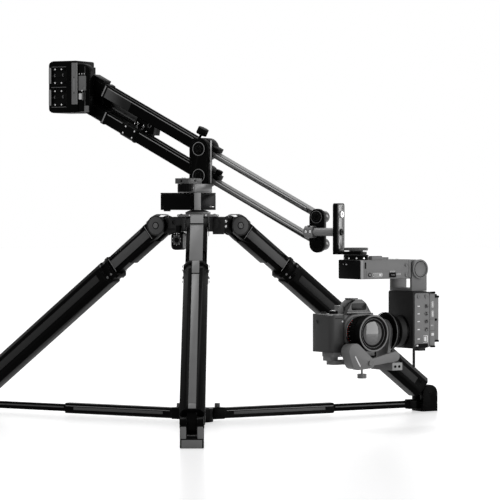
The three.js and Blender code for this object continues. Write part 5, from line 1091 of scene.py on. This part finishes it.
# Lower tubes: painted reflections as flat strips, which lie in their grooves and run on over collar and end,
# with screws in the collars
# Painted reflections along the lower tubes: a grey strip on top and darker grey ones on the sides
leg_reflection_strip = plate("leg_reflection_strip", strip_metal, 408, 15.4, 1.0, corner=1.0)
collar_reflection_patch = plate("collar_reflection_patch", grey_metal, 41, 15.4, 0.4, corner=1, ease=0.1)
end_reflection_patch = plate("end_reflection_patch", grey_metal, 15, 15.4, 0.4, corner=1, ease=0.1)
side_reflection_strip = plate("side_reflection_strip", charcoal, 398, 15.4, 1.0, corner=1.0)
tube_screw = cap_screw("tube_screw", grey_metal, 2.4, 1.2)
for leg, carrier in LEG_FRAMES.items():
    top = on(carrier, "+z", GROOVE_FLOOR)
    fitted(f"leg_reflection_strips_{leg}", "root", GREY, (leg_reflection_strip, top(400, 0)),
        (collar_reflection_patch, on(carrier, "+z", COLLAR_TOP)(173.5, 0)),
        (end_reflection_patch, on(carrier, "+z", GROOVE_RIM)(613, 0)),
        *[(side_reflection_strip, side(395, 0)) for side in both_sides(carrier, GROOVE_FLOOR)])
    fitted(f"clamp_screws_{leg}", "root", GREY, *[
        (tube_screw, side(along, rise)) for side in both_sides(carrier, COLLAR_SIDE) for along in (160, 172)
        for rise in (-16, 16)])

# Feet: painted reflections, as a grey plate on the outer face of each cheek and a grey outer face on the
# sole
SOLE_END = 628
# Painted reflections: grey on the feet's outer faces
cheek_reflection_plate = plate("cheek_reflection_plate", grey_metal, 11.5, 24, 0.6, corner=1.5)
for leg, crown in CROWNS.items():
    cheeks = on(crown, "+x", FOOT_CHEEK_END)
    fitted(f"foot_reflection_plates_{leg}", "root", GREY, *row(cheek_reflection_plate, cheeks, (-17, 17), 31))
    repaint(finished["foot_" + leg], crown, grey_metal,
        lambda centre, normal: centre.x > SOLE_END and normal.x > 0.9)

# Floor spreader: strips in the grooves of the tubes, fine lines on tubes and rods, and a cap on the hub
SPREADER_HEIGHT = 17
TUBE_MIDDLE = 207
TUBE_LINE_RISE = 5.4
ROD_MIDDLE = 450
ROD_LINE_RISE = 2
tube_strip = plate("tube_strip", mid_grey, 280, 6.4, 0.8, corner=0.6)
tube_line = plate("tube_line", pale_metal, 280, 1.0, 0.2, ease=0)
rod_line = plate("rod_line", mid_grey, 190, 3.0, 0.3, corner=0.6, ease=0.1)
for leg, crown in CROWNS.items():
    strips = []
    for groove, tube, rod in zip(
            both_sides(crown, SPREADER_GROOVE), both_sides(crown, SPREADER_SIDE),
            both_sides(crown, ROD_SIDE)):
        strips.append((tube_strip, groove(TUBE_MIDDLE, SPREADER_HEIGHT)))
        strips.append((tube_line, tube(TUBE_MIDDLE, SPREADER_HEIGHT + TUBE_LINE_RISE)))
        strips.append((rod_line, rod(ROD_MIDDLE, SPREADER_HEIGHT + ROD_LINE_RISE)))
    fitted(f"spreader_strips_{leg}", "root", GREY, *strips)
hub_top = on(STAND, "+z", HUB_TOP)
hub_cap = pin_head("hub_cap", grey_metal, 12, 3)
fitted("spreader_cap", "root", GREY, (hub_cap, hub_top(0, 0)))

# Front bracket: a cap and a ring on its near face, painted highlight bands and a bolt on the offset bracket,
# clamp screws
bracket_side = on(FRONT, "-y", BRACKET_FACE)
bracket_cap = pin_head("bracket_cap", black_metal, 10.5, 1.2)
bracket_ring = hoop("bracket_ring", grey_metal, 12.6, 13.6, 0.6, sides=44, ease=0.2)
fitted("bracket_rings", "front", BLACK, (bracket_cap, bracket_side(0, 456)),
    (bracket_ring, bracket_side(0, 456)))
edge_face = on(FRONT, "+x", OFFSET_BRACKET_FACE)
# Painted highlights: a bright and a grey band on the offset bracket's end face
offset_face_highlights = plate("offset_face_highlights", black_gloss, 33, 100, 0.3, corner=2, ease=0.1)
painted_highlight_band = plate("painted_highlight_band", pale_metal, 7, 94, 0.3, corner=1, ease=0.1)
painted_sheen_band = plate("painted_sheen_band", mid_grey, 9, 94, 0.3, corner=1, ease=0.1)
offset_cap = cap_screw("offset_cap", bright_metal, 7.4, 4.2)
fitted("offset_face_highlights", "front", SILVER, (offset_face_highlights, edge_face(-35, 433)),
    (painted_highlight_band, edge_face(-42, 434, lift=0.2)), (painted_sheen_band, edge_face(-26, 434, lift=0.2)))
fitted("offset_bolt", "front", SILVER, (offset_cap, edge_face(-35, 462)))
clamp_face = on(FRONT, "-y", ROD_CLAMP_FACE)
fitted("rod_clamp_screws", "front", SILVER, *row(screw_medium, clamp_face, (-15, -5), 424))

# Head bearing: a dark shell round it, with small screws
BEARING_SCREWS = 10
BEARING_SCREW_HEIGHT = 367.6
ring_shell = hoop("ring_shell", black_metal, 26.1, 27.0, 10.4, sides=60, ease=0.3)
fitted("bearing_shell", "head", BLACK, (ring_shell, on(HEAD, "+z", BEARING_FOOT)(0, 0)))
fitted("bearing_screws", "head", SILVER, *[
    (screw_small, on(carrier, "+x", BEARING_EDGE)(0, BEARING_SCREW_HEIGHT))
    for carrier in around(HEAD, BEARING_SCREWS)])

# Head box: dark end cap, a long panel with its button, window and socket, screws and a pad
HEAD_MIDDLE = 343.3
head_side = on(HEAD, "-y", HEAD_FACE)
head_panel_side = on(HEAD, "-y", HEAD_PANEL_FACE)
head_cover_side = on(HEAD, "-y", HEAD_COVER_FACE)
head_end = on(HEAD, "-x", HEAD_END)
front_cover = plate("front_cover", grey_metal, 133, 40.6, 0.45, corner=0.8)
fitted("head_front_cover", "head", GREY, (front_cover, head_side(48.7, HEAD_MIDDLE)))
CAP_THICK = 0.7
end_cap = plate("end_cap", black_plastic, 75, 40.4, CAP_THICK, corner=1.5, ease=0.3)
fitted("head_end_cap", "head", PLASTIC, (end_cap, head_end(0, HEAD_MIDDLE)))
fitted("head_end_marks", "head", SILVER, (print_spot, head_end(8.7, 354, lift=CAP_THICK)),
    (print_tick, head_end(12, 354, lift=CAP_THICK)), (print_tick, head_end(21, 354, lift=CAP_THICK)))
long_panel = plate("long_panel", grey_metal, 98.5, 16.4, 0.6, corner=0.8, well=(0.5, 0.25))
fitted("head_panel", "head", GREY, (long_panel, head_cover_side(47.5, 332.9)))
button_rim = hoop("button_rim", black_metal, 3.5, 4.6, 0.9, sides=30, ease=0.2)
button_top = turned("button_top", grey_panel, [(3.3, 0), (3.3, 0.8), (2.8, 1.1), (1.4, 0.9)], sides=30)
fitted("head_button", "head", GREY, (button_rim, head_panel_side(7.1, 332)),
    (button_top, head_panel_side(7.1, 332)))
window_rim = plate("window_rim", white_print, 27.5, 8.6, 0.35, corner=4.2, ease=0.1)
BED_THICK = 0.45
window_bed = plate("window_bed", grey_metal, 25.9, 7.0, BED_THICK, corner=3.4, ease=0.1)
window_knob = plate("window_knob", white_print, 7, 4.6, 1.2, corner=1, ease=0.3)
fitted("head_slider", "head", GREY, (window_rim, head_panel_side(28.5, 331.4)),
    (window_bed, head_panel_side(28.5, 331.4)), (window_knob, head_panel_side(35, 331.4)),
    *row(print_tick, head_panel_side, (20, 23, 26, 29), 331.4, lift=BED_THICK))
SOCKET_ALONG = 69.9
head_socket = plate("head_socket", black_plastic, 18, 10.6, 1.6, corner=1.2, ease=0.3, well=(1.6, 1.0))
fitted("head_socket", "head", PLASTIC, (head_socket, head_panel_side(SOCKET_ALONG, 331)),
    *[(contact, head_panel_side(SOCKET_ALONG + step, 331, lift=-0.2)) for step in (-4.5, -1.5, 1.5, 4.5)],
    *[(print_tick, head_panel_side(SOCKET_ALONG + step, 338.4)) for step in (-6, -3, 0, 3, 6)])
fitted("head_marks", "head", SILVER, *row(print_tick, head_panel_side, (80, 83, 86, 89, 92), 332.6))
fitted("head_screws", "head", GREY, *grid(grey_bolt, head_cover_side, (109.4,), (352.5, 330.5)))
head_slot = plate("head_slot", black_plastic, 4.2, 14, 0.2, corner=2.0, ease=0)
head_edge = plate("head_edge", pale_metal, 7.4, 40.5, 0.25, corner=0.6, ease=0.1)
head_line = plate("head_line", black_plastic, 0.6, 40, 0.12, ease=0)
fitted("head_slot", "head", PLASTIC, (head_slot, head_cover_side(-4.6, 352)),
    (head_line, head_cover_side(115.6, HEAD_MIDDLE)),
    (head_line, head_cover_side(-9.2, HEAD_MIDDLE)))
fitted("head_edge", "head", SILVER, (head_edge, head_cover_side(-13.6, HEAD_MIDDLE)))
pad = plate("pad", grey_metal, 29, 11, 8.6, corner=1, ease=0.4)
fitted("head_pad", "head", GREY, (pad, on(HEAD, "+z", HEAD_TOP)(29, -31)))

# Tilt box: a grey panel with connectors, a second bank of ports, a latch, a cover and black caps
PORT_PANEL_THICK = 0.7
tilt_side = on(HEAD, "-y", TILT_BOX_FACE)
panel_top = on(HEAD, "-y", TILT_BOX_FACE - PORT_PANEL_THICK)
panel_frame = plate("panel_frame", black_plastic, 43.5, 119.5, 0.25, corner=5.5, ease=0)
port_panel = plate("port_panel", grey_metal, 41.8, 118, PORT_PANEL_THICK, corner=5)
fitted("port_panel", "head", GREY, (panel_frame, tilt_side(146, 231)), (port_panel, tilt_side(146, 231)))
PORT_HEIGHTS = (261.8, 245.3, 228.5, 211.1)
for index, high in enumerate(PORT_HEIGHTS):
    fitted(f"connector_{index + 1}", "head", SILVER,
        *connector(lambda right, rise, high=high: panel_top(158.5 + right, high + rise)))
fitted("port_panel_screws", "head", GREY, *row(grey_bolt, panel_top, (136.5, 157.5), 283))
fitted("port_marks", "head", SILVER, *grid(print_bar, panel_top, (136.5,), PORT_HEIGHTS + (190.4,)))
square_rim = plate("square_rim", white_print, 13, 15, 0.8, corner=1)
square_bed = plate("square_bed", black_plastic, 9.6, 12.6, 1.0, corner=0.6, well=(1.2, 0.7))
fitted("square_port", "head", SILVER, (square_rim, panel_top(155.5, 190)),
    (square_bed, panel_top(154.6, 190, lift=0.2)))
LATCH_THICK = 2.4
latch = plate("latch", black_plastic, 34, 8.6, LATCH_THICK, corner=1.6, ease=0.5)
latch_tip = plate("latch_tip", white_print, 5, 3.4, 0.6, corner=0.6)
fitted("latch", "head", PLASTIC, (latch, tilt_side(145, 175.5)),
    (latch_tip, tilt_side(131, 176.4, lift=LATCH_THICK)))
bank_side = on(HEAD, "-y", BANK_FACE)
bank_panel = plate("bank_panel", grey_panel, 14, 119, 0.5, corner=1.2)
fitted("bank_panel", "head", GREY, (bank_panel, bank_side(175.3, 231.5)))
wide_port = plate("wide_port", white_print, 6.4, 13.4, 0.5, corner=2.6, ease=0.1)
wide_bed = plate("wide_bed", black_plastic, 4.6, 11.4, 0.7, corner=1.8, ease=0.1, well=(0.7, 0.5))
bank_top = on(HEAD, "-y", BANK_PANEL_FACE)
fitted("bank_ports", "head", SILVER,
    *[(pattern, bank_top(176, high)) for high in (264.8, 244.5) for pattern in (wide_port, wide_bed)])
bank_port = plate("bank_port", white_print, 7, 6, 0.7, corner=0.8)
bank_line = plate("bank_line", black_plastic, 13.6, 0.5, 0.1, ease=0)
fitted("bank_details", "head", GREY, (bank_port, bank_top(176, 199.5)),
    (print_tick, bank_top(173, 219)), (print_tick, bank_top(177, 219)),
    (bank_line, bank_top(175.3, 233)), (bank_line, bank_top(175.3, 208)))
cover_side = on(HEAD, "-y", COVER_FACE)
COVER_THICK = 0.5
cover_panel = plate("cover_panel", grey_metal, 12.2, 98, COVER_THICK, corner=2.5)
fitted("cover_panel", "head", GREY, (cover_panel, cover_side(190, 233.5)))
fitted("cover_screw", "head", BLACK, (screw_black, cover_side(188.5, 231.4, lift=COVER_THICK)))
cap_block = plate("cap_block", black_plastic, 12.6, 4.2, 3.0, corner=1.2, ease=0.4)
fitted("cover_caps", "head", PLASTIC, (cap_block, bank_side(176, 291.0)),
    (cap_block, cover_side(189.8, 281.6)), (cap_block, cover_side(189.8, 184.6)),
    (cap_block, bank_side(176, 173.2)))
fitted("hinge_cap_rings", "head", BLACK,
    (hoop("hinge_ring", black_metal, 16.0, 17.6, 0.9, sides=60, ease=0.2),
    on(HEAD, "-y", HINGE_CAP_FACE)(145.8, 342.4)))

# Motor boss and the edge of the turning flange
BOSS_CENTRE = (-4.3, 206.5)
boss_ring = hoop("boss_ring", black_metal, 35.1, 36.0, 6, sides=64, ease=0.3)
fitted("boss_rings", "head", BLACK, (boss_ring, on(HEAD, "+x", BOSS_END)(*BOSS_CENTRE)))
flange_rim = hoop("flange_rim", mid_grey, 42.05, 42.7, 2.6, sides=72, ease=0.3)
fitted("flange_rim", "camera", GREY, (flange_rim, on(HEAD, "+x", FLANGE_BACK)(*BOSS_CENTRE)))

# Lens: a grey front rim, dark rings and the glass
LENS_HEIGHT = 207.5
lens_axis = on(HEAD, "-y", LENS_FRONT)
lens_well = on(HEAD, "-y", LENS_WELL)
front_rim = hoop("front_rim", grey_panel, 36.0, 39.3, 0.9, sides=72, ease=0.4)
inner_rim = hoop("inner_rim", black_gloss, 31.2, 34.8, 3.4, sides=64, ease=0.8)
inner_line = hoop("inner_line", grey_metal, 30.4, 31.1, 2.6, sides=64, ease=0.2)
step_ring = hoop("step_ring", black_metal, 26.0, 30.4, 2.0, sides=64, ease=0.6)
GLASS_PROFILE = [(26.4, 0), (26.4, 0.4), (23, 1.6), (18, 2.7), (12, 3.5), (6, 4.0), (1, 4.1)]
glass = turned("glass", lens_glass, GLASS_PROFILE, sides=64, smooth=60)
fitted("lens_front_rim", "camera", PANEL, (front_rim, lens_axis(0, LENS_HEIGHT)))
fitted("lens_inner_rings", "camera", BLACK, (inner_rim, lens_well(0, LENS_HEIGHT)),
    (inner_line, lens_well(0, LENS_HEIGHT)), (step_ring, lens_well(0, LENS_HEIGHT)))
fitted("lens_glass", "camera", PLASTIC, (glass, lens_well(0, LENS_HEIGHT)))

# Camera body: covering, pale front and apron round the mount, dials, lugs, lamp, seam and prism plates
GRIP_SEAM_HEIGHT = 240
FRONT_LEFT = -48
FRONT_REACH = -11
camera_case = finished["camera_body"]
repaint(camera_case, HEAD, camera_grain,
    lambda centre, normal: centre.z < GRIP_SEAM_HEIGHT and abs(normal.z) < 0.5)
repaint(camera_case, HEAD, pale_metal, lambda centre, normal: (
    FRONT_LEFT < centre.x < BODY_END and centre.z < BODY_TOP and normal.y < -0.9 and centre.y > FRONT_REACH))
apron = hoop("mount_apron", pale_metal, 35.2, 41.5, 8.6, sides=72, ease=1.2)
mount_plate = hoop("mount_plate", bright_metal, 31.5, 34.5, 0.8, sides=72, ease=0.2)
fitted("mount_apron", "camera", SILVER, (apron, on(HEAD, "-y", APRON_FOOT)(0, LENS_HEIGHT)),
    (mount_plate, on(HEAD, "-y", MOUNT_FACE)(0, LENS_HEIGHT)))
body_top = on(HEAD, "+z", BODY_TOP)
DIAL_TALL = 6
mode_dial = ridged("mode_dial", black_metal, 9.5, DIAL_TALL, ridges=20)
dial_cap = pin_head("dial_cap", bright_metal, 6, 1.2)
fitted("mode_dial", "camera", BLACK,
    (mode_dial, body_top(-46, 20)), (dial_cap, body_top(-46, 20, lift=DIAL_TALL)))
fitted("speed_dial", "camera", SILVER,
    (ridged("speed_dial", black_metal, 6.5, 3.4, ridges=16), body_top(-62, 34)))
strap_lug = hoop("strap_lug", bright_metal, 3.0, 5.2, 2.6, sides=28, ease=0.6)
lug_post = turned("lug_post", bright_metal, [(2.2, 0), (2.2, 3.0), (1.6, 3.6)], sides=20)
fitted("strap_lugs", "camera", SILVER, (lug_post, on(HEAD, "+x", BODY_END)(22, 236)),
    (strap_lug, on(HEAD, "-y", BODY_FRONT)(-44.5, 239)), (strap_lug, on(HEAD, "-y", BODY_FRONT)(56.0, 238)))
grip_front = on(HEAD, "-y", GRIP_FRONT)
focus_lamp = turned("focus_lamp", white_print, [(1.9, 0), (1.9, 0.5), (1.3, 0.9)], sides=20)
fitted("focus_lamp", "camera", SILVER, (focus_lamp, grip_front(-56.5, 233)))
grip_seam = plate("grip_seam", black_plastic, 20, 1.2, 0.3, ease=0)
fitted("grip_trim", "camera", PLASTIC, (grip_seam, grip_front(-66, GRIP_SEAM_HEIGHT)))
prism_front = on(HEAD, "-y", PRISM_FRONT)
prism_window = plate("prism_window", black_gloss, 40, 15, 0.8, corner=4, ease=0.4)
prism_foot = plate("prism_foot", pale_metal, 64, 2.2, 0.8, corner=0.8)
fitted("prism_window", "camera", BLACK, (prism_window, prism_front(0, 263)))
fitted("prism_foot", "camera", SILVER, (prism_foot, prism_front(0, 250.4)))

# Focus scale round the barrel, in plain red and white ticks
SCALE_RADIUS = 35.05
TICK_COUNT = 14
TICK_START = -62
TICK_STEP = 8.5
RED_TICK_OUT = -15.5
WHITE_TICK_OUT = -20.0
red_tick = plate("red_tick", red_print, 3.2, 1.3, 0.1, ease=0)
white_tick = plate("white_tick", white_print, 2.4, 0.9, 0.1, ease=0)
scale_places = []
for index in range(TICK_COUNT):
    turn = Matrix.Rotation(math.radians(TICK_START + TICK_STEP * index), 4, "Y")
    tick_side = on(HEAD @ frame_at((0, 0, LENS_HEIGHT)) @ turn, "-x", -SCALE_RADIUS)
    scale_places.append((red_tick, tick_side(RED_TICK_OUT, 0)))
    if index % 2 == 0:
        scale_places.append((white_tick, tick_side(WHITE_TICK_OUT, 0)))
fitted("lens_scale", "camera", BLACK, *scale_places)

# Cradle: a stripe on the motor case, its pivot cap, the bar's end with two screws, a spot on the stop
case_face = on(HEAD, "-y", MOTOR_CASE_FACE)
case_stripe = plate("case_stripe", white_print, 2.8, 26, 0.12, corner=0.6, ease=0)
fitted("focus_case_stripe", "camera", PANEL, (case_stripe, case_face(-47, 149, 32)))
pivot_cap = pin_head("pivot_cap", grey_panel, 6.2, 1.4)
fitted("focus_pivot_cap", "camera", PANEL, (pivot_cap, on(HEAD, "-y", PIVOT_FACE)(-12.4, 144)))
bar_face = on(HEAD, "-y", CRADLE_BAR_FACE)
BAR_END_THICK = 0.4
bar_end = plate("bar_end", pale_metal, 27, 15.6, BAR_END_THICK, corner=1)
fitted("bar_end", "camera", PANEL, (bar_end, bar_face(66, 133.8)),
    *row(screw_black, bar_face, (60, 71), 133.8, lift=BAR_END_THICK))
stop_face = on(HEAD, "-y", STOP_FACE)
fitted("plate_stop_marks", "camera", SILVER, (print_spot, stop_face(-62, 160)))

for pattern in patterns:
    bpy.data.objects.remove(pattern)
